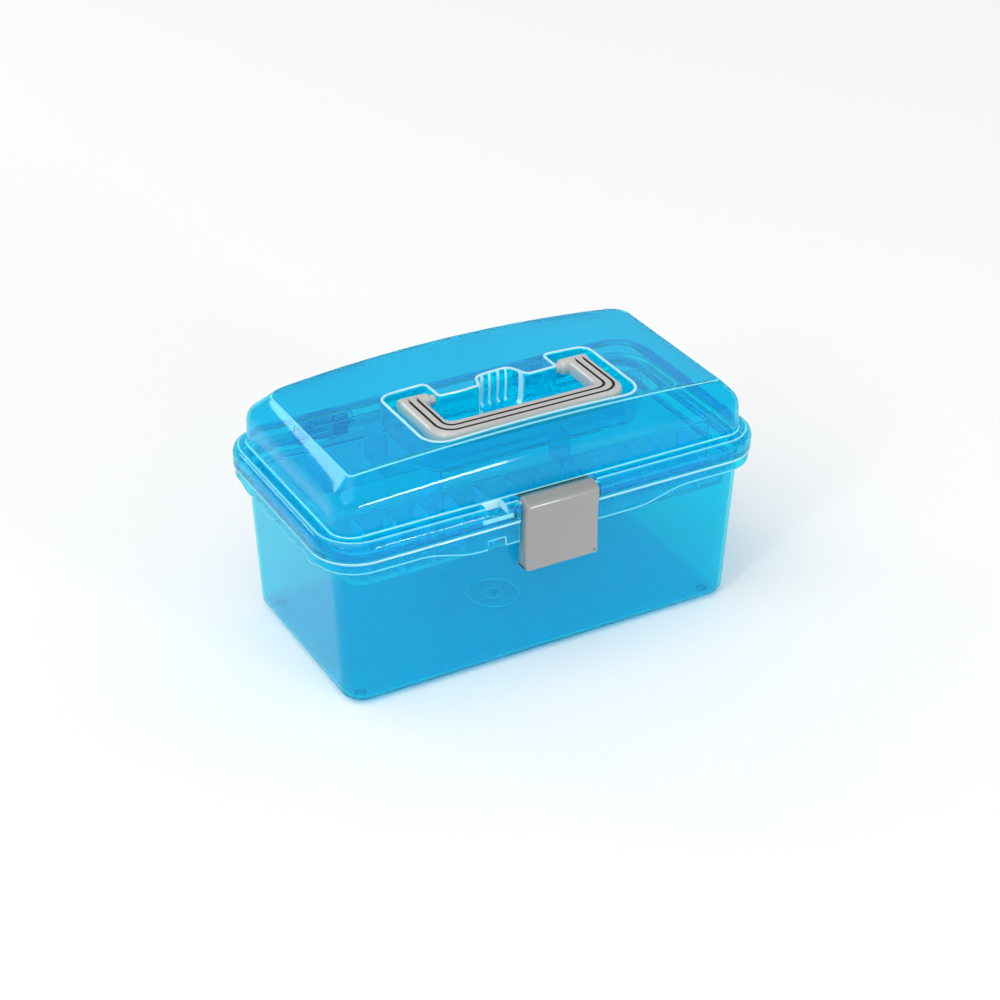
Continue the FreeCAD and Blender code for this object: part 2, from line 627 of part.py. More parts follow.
# Bosses that back the pivot holes, then the well, then the holes themselves.
for name, start in (("left", "-block_half"), ("right", "boss_in")):
    disc(lid, "pivot_boss_" + name, "YZ_Plane", start, "0", "pivot_level", "boss_radius",
         "block_half - boss_in")
block(lid, "well", "XY_Plane", "well_floor", well_corners("0"), "reach", cut=True)
disc(lid, "pivot_holes", "YZ_Plane", "0", "0", "pivot_level", "pivot_radius + running",
     "block_half*2", cut=True, middle=True)

# Cheeks and back wall of the latch notch, then the notch and the pin hole.
block(lid, "latch_housing", "XY_Plane", "rim_low", box_corners(
    "-notch_half - cheek", "notch_half + cheek", "-rim_half_width + wall - embed", "-notch_back + wall"),
    "ledge_level - wall/2 - rim_low")
block(lid, "latch_opening", "XY_Plane", "rim_low - past", box_corners(
    "-notch_half", "notch_half", "-reach", "-notch_back"), "ledge_level - rim_low + past*2", cut=True)
disc(lid, "latch_pin_hole", "YZ_Plane", "0", "-latch_axis_depth", "latch_axis_level",
     "latch_pin_radius + held", "notch_half*2 + cheek*2", cut=True, middle=True)

# Padlock eye: a pocket open upwards and to the front, with a drilled floor.
block(lid, "eye_body", "XY_Plane", "eye_low", box_corners(
    "-shackle_middle - eye_half", "-shackle_middle + eye_half", "-rim_half_width + wall - embed",
    "-dome_half_width + wall/2"), "ledge_level - wall/2 - eye_low")
block(lid, "eye_pocket", "XY_Plane", "eye_floor", box_corners(
    "-shackle_middle - eye_pocket_half", "-shackle_middle + eye_pocket_half", "-reach",
    "-dome_half_width - eye_margin"), "ledge_level + past - eye_floor", cut=True)
disc(lid, "eye_hole", "XY_Plane", "rim_low - past", "-shackle_middle", "-shackle_depth",
     "shackle_radius", "reach", cut=True)

for name, middle in HINGES:
    for end, start in (("a", middle + " - tub_knuckle_out"), ("b", middle + " + lid_knuckle_half")):
        block(lid, "lid_room_" + name + end, "YZ_Plane", start + " - play", box_corners(
            "hinge_depth - knuckle_room", "reach", "rim_low - past", "hinge_level + knuckle_room"),
            "tub_knuckle_out - lid_knuckle_half + play*2", cut=True)
    block(lid, "lid_web_" + name, "YZ_Plane", middle + " - lid_knuckle_half", [
        ("rim_half_width - wall", "hinge_level", "0"),
        ("hinge_depth + knuckle_radius", "hinge_level", "0"),
        ("hinge_depth + knuckle_radius", "hinge_level + web_outer", "0"),
        ("rim_half_width + embed", "hinge_level + web_inner", "0"),
        ("rim_half_width - wall", "hinge_level + web_inner", "0"),
    ], "lid_knuckle_half*2")
    disc(lid, "lid_barrel_" + name, "YZ_Plane", middle + " - lid_knuckle_half", "hinge_depth",
         "hinge_level", "knuckle_radius", "lid_knuckle_half*2")
    disc(lid, "lid_bore_" + name, "YZ_Plane", middle + " - tub_knuckle_out", "hinge_depth",
         "hinge_level", "hinge_pin_radius + running", "tub_knuckle_out*2", cut=True)


# Pins

def rod(label, radius, half, middle, across, up):
    """Round pin lying along X, centred on middle."""
    made = doc.addObject("Part::Cylinder", label)
    made.Label = label
    made.setExpression("Radius", bound(radius))
    made.setExpression("Height", bound(half + "*2"))
    turned = FreeCAD.Rotation(FreeCAD.Vector(0, 1, 0), 90)
    made.Placement = FreeCAD.Placement(FreeCAD.Vector(0, 0, 0), turned)
    made.setExpression("Placement.Base.x", bound(middle + " - " + half))
    made.setExpression("Placement.Base.y", bound(across))
    made.setExpression("Placement.Base.z", bound(up))
    return made


pins = [rod("hinge_pin_" + name, "hinge_pin_radius", "hinge_pin_half", middle, "hinge_depth", "hinge_level")
        for name, middle in HINGES]
latch_pin = rod("latch_pin", "latch_pin_radius", "latch_pin_half", "0", "-latch_axis_depth",
                "latch_axis_level")

# Latch

latch = body("latch")
REAR_LOW = "-tub_half_width - lean*latch_low - latch_air"
REAR_HIGH = "-tub_half_width - lean*parting - latch_air"
block(latch, "shell", "YZ_Plane", "0", [
    (REAR_LOW, "latch_low", "0"),
    (REAR_HIGH, "parting", "0"),
    ("-latch_axis_depth + latch_heel", "latch_axis_level - latch_heel_drop", "0"),
    ("-latch_axis_depth", "latch_axis_level", "0"),
    ("-latch_axis_depth", "latch_axis_level + latch_barrel", "0"),
    ("-latch_front", "latch_ridge", "small_round"),
    ("-latch_front", "latch_low", "latch_lip_round"),
], "latch_half*2", middle=True)
disc(latch, "barrel", "YZ_Plane", "0", "-latch_axis_depth", "latch_axis_level", "latch_barrel",
     "latch_half*2", middle=True)
block(latch, "inner", "YZ_Plane", "0", [
    ("-latch_front + latch_sheet", "latch_low - past", "0"),
    ("0", "latch_low - past", "0"),
    ("0", "latch_axis_level - latch_barrel - embed", "0"),
    ("-latch_axis_depth", "latch_axis_level - latch_barrel - embed", "0"),
    ("-latch_front + latch_sheet", "latch_ridge - latch_sheet - latch_throat", "0"),
], "latch_half*2 - latch_sheet*2", cut=True, middle=True)
block(latch, "hook", "XY_Plane", "hook_low", box_corners(
    "-hook_half", "hook_half", "-latch_front + latch_sheet/2", "-hook_tip"),
    "catch_low - play - hook_low")
disc(latch, "bore", "YZ_Plane", "0", "-latch_axis_depth", "latch_axis_level",
     "latch_pin_radius + running", "reach", cut=True, middle=True)

# Handle

handle = body("handle")


def bow(out):
    """U outline of the handle; out is how far the outline lies inside the outer side."""
    return [
        ("grip_outer - " + out, "0", "0"),
        ("grip_outer - " + out, minus("grip_front - " + out), "grip_corner - " + out),
        (minus("grip_outer - " + out), minus("grip_front - " + out), "grip_corner - " + out),
        (minus("grip_outer - " + out), "0", "0"),
    ]


def bow_ring(out, width):
    """Band of that width along the handle, for a groove."""
    return bow(out) + [(minus(a), b, c) for a, b, c in bow(out + " - " + width)]


grip_sketch = sketch_on(handle, "grip_sketch", "XY_Plane", "grip_low")
outline(grip_sketch, bow("0") + [
    ("-grip_inner", "0", "0"),
    ("-grip_inner", "-grip_back", "grip_inner_corner"),
    ("grip_inner", "-grip_back", "grip_inner_corner"),
    ("grip_inner", "0", "0"),
])
grip = pad(handle, "grip", grip_sketch, "grip_top - grip_low")
round_edges(handle, "grip_rounding", grip, "grip_edge",
            lambda box: box.ZMax - box.ZMin < 0.01 and box.YMin < -1)
for name, start in (("left", "-grip_outer"), ("right", "stub_in")):
    disc(handle, "stub_" + name, "YZ_Plane", start, "0", "pivot_level", "stub_radius",
         "grip_outer - stub_in")
for name, start in (("left", "-grip_outer"), ("right", "pivot_in")):
    disc(handle, "pivot_" + name, "YZ_Plane", start, "0", "pivot_level", "pivot_radius",
         "grip_outer - pivot_in")
for name, out in (("outer", "groove_one"), ("inner", "groove_two")):
    block(handle, "groove_" + name, "XY_Plane", "grip_top - groove_depth", bow_ring(out, "groove_width"),
          "groove_depth + past", cut=True)

# Tray

tray = body("tray")
pan = sketch_on(tray, "pan_sketch", "XY_Plane", "tray_low")
outline(pan, even_box("tray_half_length", "tray_half_width", "tray_corner"))
pad(tray, "pan", pan, "ledge_top - tray_low + play")
brim = sketch_on(tray, "brim_sketch", "XY_Plane", "ledge_top")
outline(brim, even_box("tray_flange_half_length", "tray_flange_half_width", "tray_flange_corner"))
pad(tray, "brim", brim, "tray_flange_sheet")
pan_inside = sketch_on(tray, "pan_inside_sketch", "XY_Plane", "tray_low + tray_sheet")
outline(pan_inside, even_box("tray_half_length - tray_sheet", "tray_half_width - tray_sheet",
                             "tray_corner - tray_sheet"))
pocket(tray, "pan_inside", pan_inside, "reach")
for name, near, far in (("front", "-spine_front", "-spine_front + tray_sheet"),
                        ("back", "spine_back - tray_sheet", "spine_back")):
    def across(text):
        return minus(text) if name == "front" else text
    block(tray, "spine_" + name, "XY_Plane", "tray_low + embed", box_corners(
        "-tray_half_length + embed", "tray_half_length - embed", near, far), "spine_top - tray_low - embed")
    # The front row has twice as many fins as the back row.
    for step in range(-6, 6) if name == "front" else range(-5, 6, 2):
        start = "fin_first + fin_pitch*%d - tray_sheet/2" % step
        block(tray, "fin_%s_%d" % (name, step + 6), "YZ_Plane", start, [
            (across("spine_" + name), "tray_low + embed", "0"),
            (across("spine_" + name), "fin_top", "0"),
            (across("tray_half_width - fin_flat_end"), "fin_top", "fin_bend"),
            (across("tray_half_width - embed"), "fin_low", "fin_toe"),
            (across("tray_half_width - embed"), "tray_low + embed", "0"),
        ], "tray_sheet")

# Tray handle: one broad strap bent to an arch with its feet on the tray floor.
strap = body("tray_handle")
strap_sketch = sketch_on(strap, "strap_sketch", "XZ_Plane", "-strap_back")
outline(strap_sketch, [
    ("-strap_half", "tray_low + tray_sheet", "0"),
    ("-strap_half - strap_foot", "tray_low + tray_sheet", "0"),
    ("-strap_half - strap_foot", "tray_low + tray_sheet + strap_sheet", "0"),
    ("-strap_half", "tray_low + tray_sheet + strap_sheet", "small_round"),
    ("-strap_half", "strap_top", "strap_corner"),
    ("strap_half", "strap_top", "strap_corner"),
    ("strap_half", "tray_low + tray_sheet + strap_sheet", "small_round"),
    ("strap_half + strap_foot", "tray_low + tray_sheet + strap_sheet", "0"),
    ("strap_half + strap_foot", "tray_low + tray_sheet", "0"),
    ("strap_half - strap_sheet", "tray_low + tray_sheet", "0"),
    ("strap_half - strap_sheet", "strap_top - strap_sheet", "strap_corner - strap_sheet"),
    ("-strap_half + strap_sheet", "strap_top - strap_sheet", "strap_corner - strap_sheet"),
    ("-strap_half + strap_sheet", "tray_low + tray_sheet", "0"),
])
pad(strap, "strap", strap_sketch, "strap_front + strap_back")

doc.recompute()

NODES = [tub, lid] + pins + [latch, latch_pin, handle, tray, strap]
faults = []
for item in doc.Objects:
    if "Invalid" in item.State or "Error" in item.State:
        faults.append(item.Name)
for node in NODES:
    if node.Shape.isNull() or not node.Shape.isValid() or len(node.Shape.Solids) != 1:
        faults.append(node.Label)
if faults:
    raise RuntimeError("not sound: " + ", ".join(faults))
os.makedirs("parts", exist_ok=True)
for node in NODES:
    node.Shape.exportStep("parts/" + node.Label + ".step")
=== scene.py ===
import math

import bmesh
import bpy
from mathutils import Matrix, Vector
from mathutils.geometry import delaunay_2d_cdt


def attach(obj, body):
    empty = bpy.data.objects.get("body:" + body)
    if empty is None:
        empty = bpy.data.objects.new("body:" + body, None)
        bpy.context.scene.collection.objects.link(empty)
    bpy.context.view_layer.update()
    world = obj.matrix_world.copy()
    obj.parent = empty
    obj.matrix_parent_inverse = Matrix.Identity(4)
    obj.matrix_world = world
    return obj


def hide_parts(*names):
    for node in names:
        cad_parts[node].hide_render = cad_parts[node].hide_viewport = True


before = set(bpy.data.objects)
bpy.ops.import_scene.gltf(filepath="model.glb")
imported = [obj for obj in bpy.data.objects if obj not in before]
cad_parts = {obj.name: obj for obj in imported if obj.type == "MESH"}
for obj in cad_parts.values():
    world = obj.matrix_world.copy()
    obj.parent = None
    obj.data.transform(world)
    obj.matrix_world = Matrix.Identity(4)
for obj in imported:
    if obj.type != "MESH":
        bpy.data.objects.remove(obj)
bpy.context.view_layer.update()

# Sizes in millimetres, as in the CAD model: X and Y are half sizes or places, Z is a level, R a corner radius
MM = 0.001
WALL = 2.0
BASE_Z = 0.6
TUB_X, TUB_Y, TUB_R, LEAN = 126.0, 65.15, 13.0, 0.05
PARTING, LIP_TOP = 99.2, 103.0
LEDGE_LOW, TRAY_REST = 90.8, 92.6
FLANGE_X, FLANGE_Y, FLANGE_R = 139.0, 75.0, 25.5
APRON_LOW, APRON_HIGH, APRON_NOTCH = 86.0, 92.7, 91.4
RIM_Z, RIM_X, RIM_Y, RIM_R, RIM_ROUND = 99.5, 140.0, 76.0, 26.5, 5.0
LEDGE_Z = 111.8
DOME_X, DOME_Y, DOME_R = 130.3, 66.5, 12.8
BEND_Z, CREASE_X, CREASE_Y, CREASE_Z, CROWN, BOW = 130.6, 118.0, 54.0, 142.5, 5.95, 3.4
NOTCH_X, NOTCH_Y, CHEEK = 25.0, 68.4, 3.5
EYE_X, EYE_Y, EYE_HALF, EYE_POCKET, EYE_Z = -39.2, -71.9, 8.0, 6.0, 106.8
HINGE_X, HINGE_Y, HINGE_Z, KNUCKLE_R = 75.0, 75.8, 99.35, 4.2
PIVOT_Z = 143.7
WELL_FLOOR = 129.0
TRAY_X, TRAY_Y, TRAY_Z, TRAY_TOP, TRAY_SHEET = 122.5, 63.0, 78.0, 94.3, 1.6


# Materials

TONE_SCALE, RIPPLE_SCALE, GRAIN_SCALE = 9.0, 16.0, 450.0
RIPPLE_STRENGTH, RIPPLE_DEPTH, GRAIN_DEPTH = 0.03, 0.002, 0.0002


def new_material(name):
    material = bpy.data.materials.new(name)
    material.use_nodes = True
    nodes = material.node_tree.nodes
    nodes.clear()
    return material, nodes, material.node_tree.links, nodes.new("ShaderNodeOutputMaterial")


def principled(nodes, colour, roughness, **more):
    shader = nodes.new("ShaderNodeBsdfPrincipled")
    shader.inputs["Base Color"].default_value = (*colour, 1)
    shader.inputs["Roughness"].default_value = roughness
    for key, value in more.items():
        shader.inputs[key.replace("_", " ")].default_value = value
    return shader


def noise(nodes, links, scale, detail):
    place = nodes.new("ShaderNodeTexCoord")
    made = nodes.new("ShaderNodeTexNoise")
    made.inputs["Scale"].default_value = scale
    made.inputs["Detail"].default_value = detail
    links.new(place.outputs["Object"], made.inputs["Vector"])
    return made


def bump(nodes, links, source, strength, distance):
    made = nodes.new("ShaderNodeBump")
    made.inputs["Strength"].default_value = strength
    made.inputs["Distance"].default_value = distance
    links.new(source, made.inputs["Height"])
    return made


def moulded(name, colour, roughness, drift, grain_strength, **more):
    """Plastic or wire with a faint drift of tone, a slow waviness and a fine grain."""
    material, nodes, links, out = new_material(name)
    shader = principled(nodes, colour, roughness, **more)
    tone = noise(nodes, links, TONE_SCALE, 2.0)
    ramp = nodes.new("ShaderNodeValToRGB")
    for stop, place, gain in zip(ramp.color_ramp.elements, (0.3, 0.7), (1 - drift, 1 + drift)):
        stop.position = place
        stop.color = (*[min(1.0, c * gain) for c in colour], 1)
    links.new(tone.outputs["Fac"], ramp.inputs["Fac"])
    links.new(ramp.outputs["Color"], shader.inputs["Base Color"])
    waves = noise(nodes, links, RIPPLE_SCALE, 1.0)
    ripple = bump(nodes, links, waves.outputs["Fac"], RIPPLE_STRENGTH, RIPPLE_DEPTH)
    grain = noise(nodes, links, GRAIN_SCALE, 3.0)
    fine = bump(nodes, links, grain.outputs["Fac"], grain_strength, GRAIN_DEPTH)
    links.new(ripple.outputs["Normal"], fine.inputs["Normal"])
    links.new(fine.outputs["Normal"], shader.inputs["Normal"])
    links.new(ripple.outputs["Normal"], shader.inputs["Coat Normal"])
    links.new(shader.outputs["BSDF"], out.inputs["Surface"])
    return material


def clear_plastic(name, tint, roughness, through):
    """Tinted see-through plastic; what doesn't pass through is scattered in its own colour."""
    return moulded(name, tint, roughness, drift=0.015, grain_strength=0.03, IOR=1.12,
                   Transmission_Weight=through, Coat_Weight=0.4, Coat_Roughness=0.05,
                   Specular_Tint=(0.2, 0.85, 1.0, 1.0))


def solid_plastic(name, colour, roughness, **more):
    return moulded(name, colour, roughness, drift=0.05, grain_strength=0.08, **more)


lid_plastic = clear_plastic("lid_plastic", (0.0, 0.735, 0.945), 0.03, 0.94)
tub_plastic = clear_plastic("tub_plastic", (0.0, 0.79, 0.935), 0.06, 0.92)
tray_plastic = clear_plastic("tray_plastic", (0.0, 0.90, 0.975), 0.06, 0.88)
# Painted highlight: a paler, less clear plastic on edges, knuckles, fins and the strap stands in for the
# light they scatter and reflect.
edge_highlight_plastic = clear_plastic("edge_highlight_plastic", (0.32, 0.90, 0.99), 0.12, 0.40)
# Painted highlight: a near-white plastic paints white glints on the well's lip, the flute crests, the padlock
# eye and bright rim lines.
painted_glint_plastic = clear_plastic("painted_glint_plastic", (0.72, 0.95, 1.0), 0.15, 0.30)
# Painted light: a paler plastic lightens the handle well's walls and floor, which would otherwise lie in
# shade.
painted_well_light_plastic = clear_plastic("painted_well_light_plastic", (0.0, 0.90, 0.98), 0.05, 0.93)
latch_grey = solid_plastic("latch_plastic", (0.27, 0.274, 0.27), 0.30, Coat_Weight=0.5, Coat_Roughness=0.12)
handle_silver = solid_plastic("handle_plastic", (0.52, 0.515, 0.495), 0.22, Coat_Weight=0.7,
                              Coat_Roughness=0.08)
# Painted shade: near-black in the handle's grooves. The same material is used for the small dark mark on the
# latch.
groove_shade_and_mark_black = solid_plastic("groove_shade_and_latch_mark", (0.012, 0.012, 0.012), 0.4)
pin_steel = solid_plastic("steel_wire", (0.75, 0.76, 0.77), 0.4, Metallic=0.35)
PLASTICS = {"tub": tub_plastic, "lid": lid_plastic, "tray": tray_plastic}


# Mesh helpers.  A shape is (points, faces, marks); a face's mark is the place of its material in the piece.
# A clear piece has its body's own plastic, and paler ones that paint light on it: highlights on edges, bright
# glints and light in the handle well.

BODY, EDGE_HIGHLIGHT, GLINT, PAINTED_WELL_LIGHT = range(4)
SHARP = 38.0  # degrees; a steeper edge isn't smoothed over
SAME_PLACE, SLIVER = 2e-6, 1e-7  # metres; points this close are one, edges this short go


def smooth(mesh, sharp):
    mesh.polygons.foreach_set("use_smooth", [True] * len(mesh.polygons))
    mesh.set_sharp_from_angle(angle=math.radians(sharp))


def mesh_piece(name, shape, materials, sharp=SHARP):
    verts, faces, marks = shape
    mesh = bpy.data.meshes.new(name)
    mesh.from_pydata([(x * MM, y * MM, z * MM) for x, y, z in verts], [], faces)
    for material in materials:
        mesh.materials.append(material)
    mesh.polygons.foreach_set("material_index", [min(mark, len(materials) - 1) for mark in marks])
    work = bmesh.new()
    work.from_mesh(mesh)
    bmesh.ops.remove_doubles(work, verts=work.verts, dist=SAME_PLACE)
    bmesh.ops.dissolve_degenerate(work, edges=work.edges, dist=SLIVER)
    bmesh.ops.recalc_face_normals(work, faces=work.faces)
    work.to_mesh(mesh)
    work.free()
    smooth(mesh, sharp)
    piece = bpy.data.objects.new(name, mesh)
    bpy.context.scene.collection.objects.link(piece)
    return piece


def fit(piece, body):
    """Hands a finished piece to the body it moves with."""
    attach(piece, body)
    return piece


def clear_piece(name, shape, body, sharp=SHARP):
    materials = (PLASTICS[body], edge_highlight_plastic, painted_glint_plastic, painted_well_light_plastic)
    return fit(mesh_piece(name, shape, materials, sharp), body)


def soften(piece, width):
    """Rounds the edges of a piece by a width in millimetres."""
    made = piece.modifiers.new("soft", "BEVEL")
    made.width = width * MM
    made.segments = 3
    made.limit_method = "ANGLE"
    made.angle_limit = math.radians(35)


def carve(piece, cutter):
    """Cuts one closed piece out of another and keeps the result as plain mesh."""
    cut = piece.modifiers.new("cut", "BOOLEAN")
    cut.operation = "DIFFERENCE"
    cut.solver = "EXACT"
    cut.object = cutter
    graph = bpy.context.evaluated_depsgraph_get()
    made = bpy.data.meshes.new_from_object(piece.evaluated_get(graph))
    piece.modifiers.clear()
    piece.data = made
    smooth(made, SHARP)
    bpy.data.objects.remove(cutter)


def loft(rings, first_cap=False, last_cap=False, skip=None, light=(), bright=()):
    """Faces between closed rings of equal length.

    The faces after a ring that is named in light or bright are marked EDGE_HIGHLIGHT or GLINT, which paint a
    highlight.
    """
    count = len(rings[0])
    verts = [p for ring in rings for p in ring]
    faces, marks = [], []
    for r in range(len(rings) - 1):
        for i in range(count):
            j = (i + 1) % count
            if skip and skip(r, i):
                continue
            faces.append((r * count + i, r * count + j, (r + 1) * count + j, (r + 1) * count + i))
            marks.append(GLINT if r in bright else EDGE_HIGHLIGHT if r in light else BODY)
    if first_cap:
        faces.append(tuple(range(count - 1, -1, -1)))
        marks.append(BODY)
    if last_cap:
        base = (len(rings) - 1) * count
        faces.append(tuple(range(base, base + count)))
        marks.append(BODY)
    return verts, faces, marks


def prism(outline, x0, x1, light=()):
    """Solid from an outline in Y and Z, along X; light names the sides of the outline to mark EDGE_HIGHLIGHT,
    a painted highlight.
    """
    count = len(outline)
    verts = [(x0, y, z) for y, z in outline] + [(x1, y, z) for y, z in outline]
    faces = [(i, (i + 1) % count, count + (i + 1) % count, count + i) for i in range(count)]
    marks = [EDGE_HIGHLIGHT if i in light else BODY for i in range(count)]
    faces += [tuple(range(count - 1, -1, -1)), tuple(range(count, 2 * count))]
    return verts, faces, marks + [BODY, BODY]


def marked(shape, mark):
    """The same shape with one mark on every face."""
    verts, faces, _ = shape
    return verts, faces, [mark] * len(faces)


def along(stops, size):
    """Places from stop to stop, no more than size apart."""
    out = []
    for a, b in zip(stops, stops[1:]):
        count = max(1, int(math.ceil((b - a) / size - 1e-6)))
        out += [a + (b - a) * i / count for i in range(count)]
    return out + [stops[-1]]


def smooth_step(value):
    """Soft rise from 0 to 1 while the value goes from 0 to 1."""
    value = min(1.0, max(0.0, value))
    return value * value * (3 - 2 * value)


def bezier(a, b, c, t):
    return a * (1 - t) ** 2 + b * 2 * t * (1 - t) + c * t * t


def quarter(count):
    """Sine and cosine pairs of a quarter turn."""
    return [(math.sin(math.pi / 2 * i / count), math.cos(math.pi / 2 * i / count)) for i in range(count + 1)]


def arc_points(middle, radius, start, end, count):
    """Places on an arc between two angles in degrees."""
    out = []
    for i in range(count + 1):
        angle = math.radians(start + (end - start) * i / count)
        out.append((middle[0] + radius * math.cos(angle), middle[1] + radius * math.sin(angle)))
    return out


def oval(middle, half_across, half_up, count):
    """Places round an oval."""
    turns = [2 * math.pi * i / count for i in range(count)]
    return [(middle[0] + half_across * math.cos(t), middle[1] + half_up * math.sin(t)) for t in turns]


# Plan outlines.  Every ring has the same number of points in the same order, so rings can be joined.
# Their long sides have points wherever a notch, the padlock eye or a knuckle begins or ends.

EPS = 0.02  # width of the step at such a place
SPACING, SIDE_SPACING = 2.5, 1.5
STRAIGHT_X, STRAIGHT_Y = 110, 47  # ends of the straight part of the sides, where every plan is still straight
KNUCKLE_NEAR, KNUCKLE_FAR = 8.2, 16.8  # ends of a tub knuckle, from the middle of its hinge
FRONT = [-STRAIGHT_X, -85, -50, EYE_X - EYE_HALF, EYE_X - EYE_POCKET - EPS, EYE_X - EYE_POCKET, EYE_X - 5.4,
         EYE_X + 5.4, EYE_X + EYE_POCKET, EYE_X + EYE_POCKET + EPS, EYE_X + EYE_HALF,
         -NOTCH_X - CHEEK - EPS, -NOTCH_X - CHEEK, -NOTCH_X - EPS, -NOTCH_X,
         NOTCH_X, NOTCH_X + EPS, NOTCH_X + CHEEK, NOTCH_X + CHEEK + EPS, 50, 85, STRAIGHT_X]
FRONT_XS = along(FRONT, SPACING)
BACK = [-STRAIGHT_X] + [middle + side + shift for middle in (-HINGE_X, HINGE_X)
                        for side in (-KNUCKLE_FAR, -KNUCKLE_NEAR, KNUCKLE_NEAR, KNUCKLE_FAR)
                        for shift in (-EPS, 0)] + [STRAIGHT_X]
BACK_XS = along(BACK, SPACING)
SIDE_YS = along([-STRAIGHT_Y, STRAIGHT_Y], SIDE_SPACING)
ARC = 14  # steps of a corner


def plan(half_x, half_y, radius):
    """Oblong with round corners, from the left end of its front anticlockwise."""
    points = [(x, -half_y) for x in FRONT_XS]
    for corner, (sx, sy) in enumerate(((1, -1), (1, 1), (-1, 1), (-1, -1))):
        for i in range(ARC + 1):
            angle = math.radians(-90 + corner * 90 + 90 * i / ARC)
            points.append((sx * (half_x - radius) + radius * math.cos(angle),
                           sy * (half_y - radius) + radius * math.sin(angle)))
        if corner == 0:
            points += [(half_x, y) for y in SIDE_YS]
        elif corner == 1:
            points += [(x, half_y) for x in reversed(BACK_XS)]
        elif corner == 2:
            points += [(-half_x, y) for y in reversed(SIDE_YS)]
    return points


def inset_plan(half_x, half_y, radius, inset):
    return plan(half_x - inset, half_y - inset, radius - inset)


def near_knuckle(x, tub_side):
    """Whether a knuckle of the tub, or else of the lid, sits at this place along the back."""
    away = min(abs(x - HINGE_X), abs(x + HINGE_X))
    if tub_side:
        return KNUCKLE_NEAR - EPS / 2 <= away <= KNUCKLE_FAR - EPS / 2
    return away <= KNUCKLE_NEAR + 0.1


# Tub: one closed skin, up the outside, over the lip and the tray's ledge and down the inside

BASE_ROUND, INSIDE_ROUND, LIP_ROUND = 6.5, 4.5, 0.6
LEDGE_REACH = 5.6


def tub_wall(z, grow):
    """Plan of the leaning wall's outside at a level, moved outwards by grow."""
    grow += LEAN * z
    return plan(TUB_X + grow, TUB_Y + grow, TUB_R + grow)


def tub_ring(z, inset, low_front=False):
    """Ring of the tub; with low_front it dips to the parting level behind the latch, as there is no lip."""
    return [(x, y, PARTING if low_front and y < 0 and abs(x) <= NOTCH_X + CHEEK + 1e-6 else z)
            for x, y in tub_wall(z, -inset)]


tub_rings = [tub_ring(BASE_Z + BASE_ROUND * (1 - c), BASE_ROUND * (1 - s)) for s, c in quarter(9)]
tub_rings += [tub_ring(z, 0) for z in (20, 40, 60, 80, 97)]
lip_start = len(tub_rings)
tub_rings += [tub_ring(z, inset, True) for z, inset in
              ((PARTING, 0), (LIP_TOP - LIP_ROUND, 0), (LIP_TOP, LIP_ROUND), (LIP_TOP, WALL - LIP_ROUND),
               (LIP_TOP - LIP_ROUND, WALL))]
tub_rings += [tub_ring(z, inset) for z, inset in
              ((PARTING, WALL), (93.2, WALL), (TRAY_REST, 2.2), (TRAY_REST, LEDGE_REACH - 0.3),
               (TRAY_REST - 0.3, LEDGE_REACH), (LEDGE_LOW, LEDGE_REACH), (90.4, 2.2), (80, WALL), (60, WALL),
               (40, WALL), (20, WALL))]
tub_rings += [tub_ring(BASE_Z + WALL + INSIDE_ROUND * (1 - c), WALL + INSIDE_ROUND * (1 - s))
              for s, c in reversed(quarter(9))]
# The lip's rounded faces get the paler plastic: a painted highlight.
tub_shell = clear_piece("tub_shell", loft(tub_rings, True, True, light=range(lip_start + 1, lip_start + 4)),
                        "tub")
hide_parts("tub")


# Flange round the tub, with an apron that hangs deepest in the middle of the long sides

NOTCH_HALF = 5.5  # notch in the apron under the padlock eye
APRON_DEEP, APRON_RISE = 50, 36  # half length of the deepest part, and the run over which it rises from there
WAVE, WAVE_LENGTH, WAVE_MIDDLE = 1.5, 27.2, 9.2  # the apron's scallops at the tub's ends
# The flange above its level here, and the lid's rim below its own, stay in front of the hinges.
HINGE_CLEAR_Y, FLANGE_CLEAR_Z, RIM_CLEAR_Z = 71.0, 94.2, 104.08


def apron_low(x, y):
    """Lower edge of the apron at a place on the flange outline."""
    if abs(y) > FLANGE_Y - 6 and abs(x) < 113:
        if y < 0 and abs(x - EYE_X) < NOTCH_HALF:
            return APRON_NOTCH
        return APRON_LOW + (APRON_HIGH - APRON_LOW) * smooth_step((abs(x) - APRON_DEEP) / APRON_RISE)
    fade = smooth_step((FLANGE_Y - 8 - abs(y)) / 14)
    return APRON_HIGH - fade * WAVE * (0.4 + math.cos(2 * math.pi * (y - WAVE_MIDDLE) / WAVE_LENGTH))


def flange_ring(inset, level):
    """Ring of the flange at a level, or above the lower edge of its apron when the level is a small rise."""
    ring = inset_plan(FLANGE_X, FLANGE_Y, FLANGE_R, inset)
    out = []
    for (x, y), (ox, oy) in zip(ring, plan(FLANGE_X, FLANGE_Y, FLANGE_R)):
        z = level if level > 50 else apron_low(ox, oy) + level
        if y > 60 and near_knuckle(x, False) and z > FLANGE_CLEAR_Z:
            y = min(y, HINGE_CLEAR_Y - 0.6 * inset)
        out.append((x, y, z))
    return out


wall_plan = tub_wall(98, -0.8)  # inside the wall's thickness, so the two pieces hold together
flange_rings = [[(x, y, PARTING) for x, y in wall_plan]]
flange_rings += [flange_ring(inset, level) for inset, level in
                 ((0.8, PARTING), (0.25, PARTING - 0.25), (0, PARTING - 0.8), (0, FLANGE_CLEAR_Z + 0.1),
                  (0, FLANGE_CLEAR_Z - 0.1), (0, 1.0), (0, 0.4), (0.5, 0), (1.5, 0), (2, 0.4),
                  (2, FLANGE_CLEAR_Z - 0.1), (2, FLANGE_CLEAR_Z + 0.1), (2, PARTING - WALL))]
flange_rings.append([(x, y, PARTING - WALL) for x, y in wall_plan])
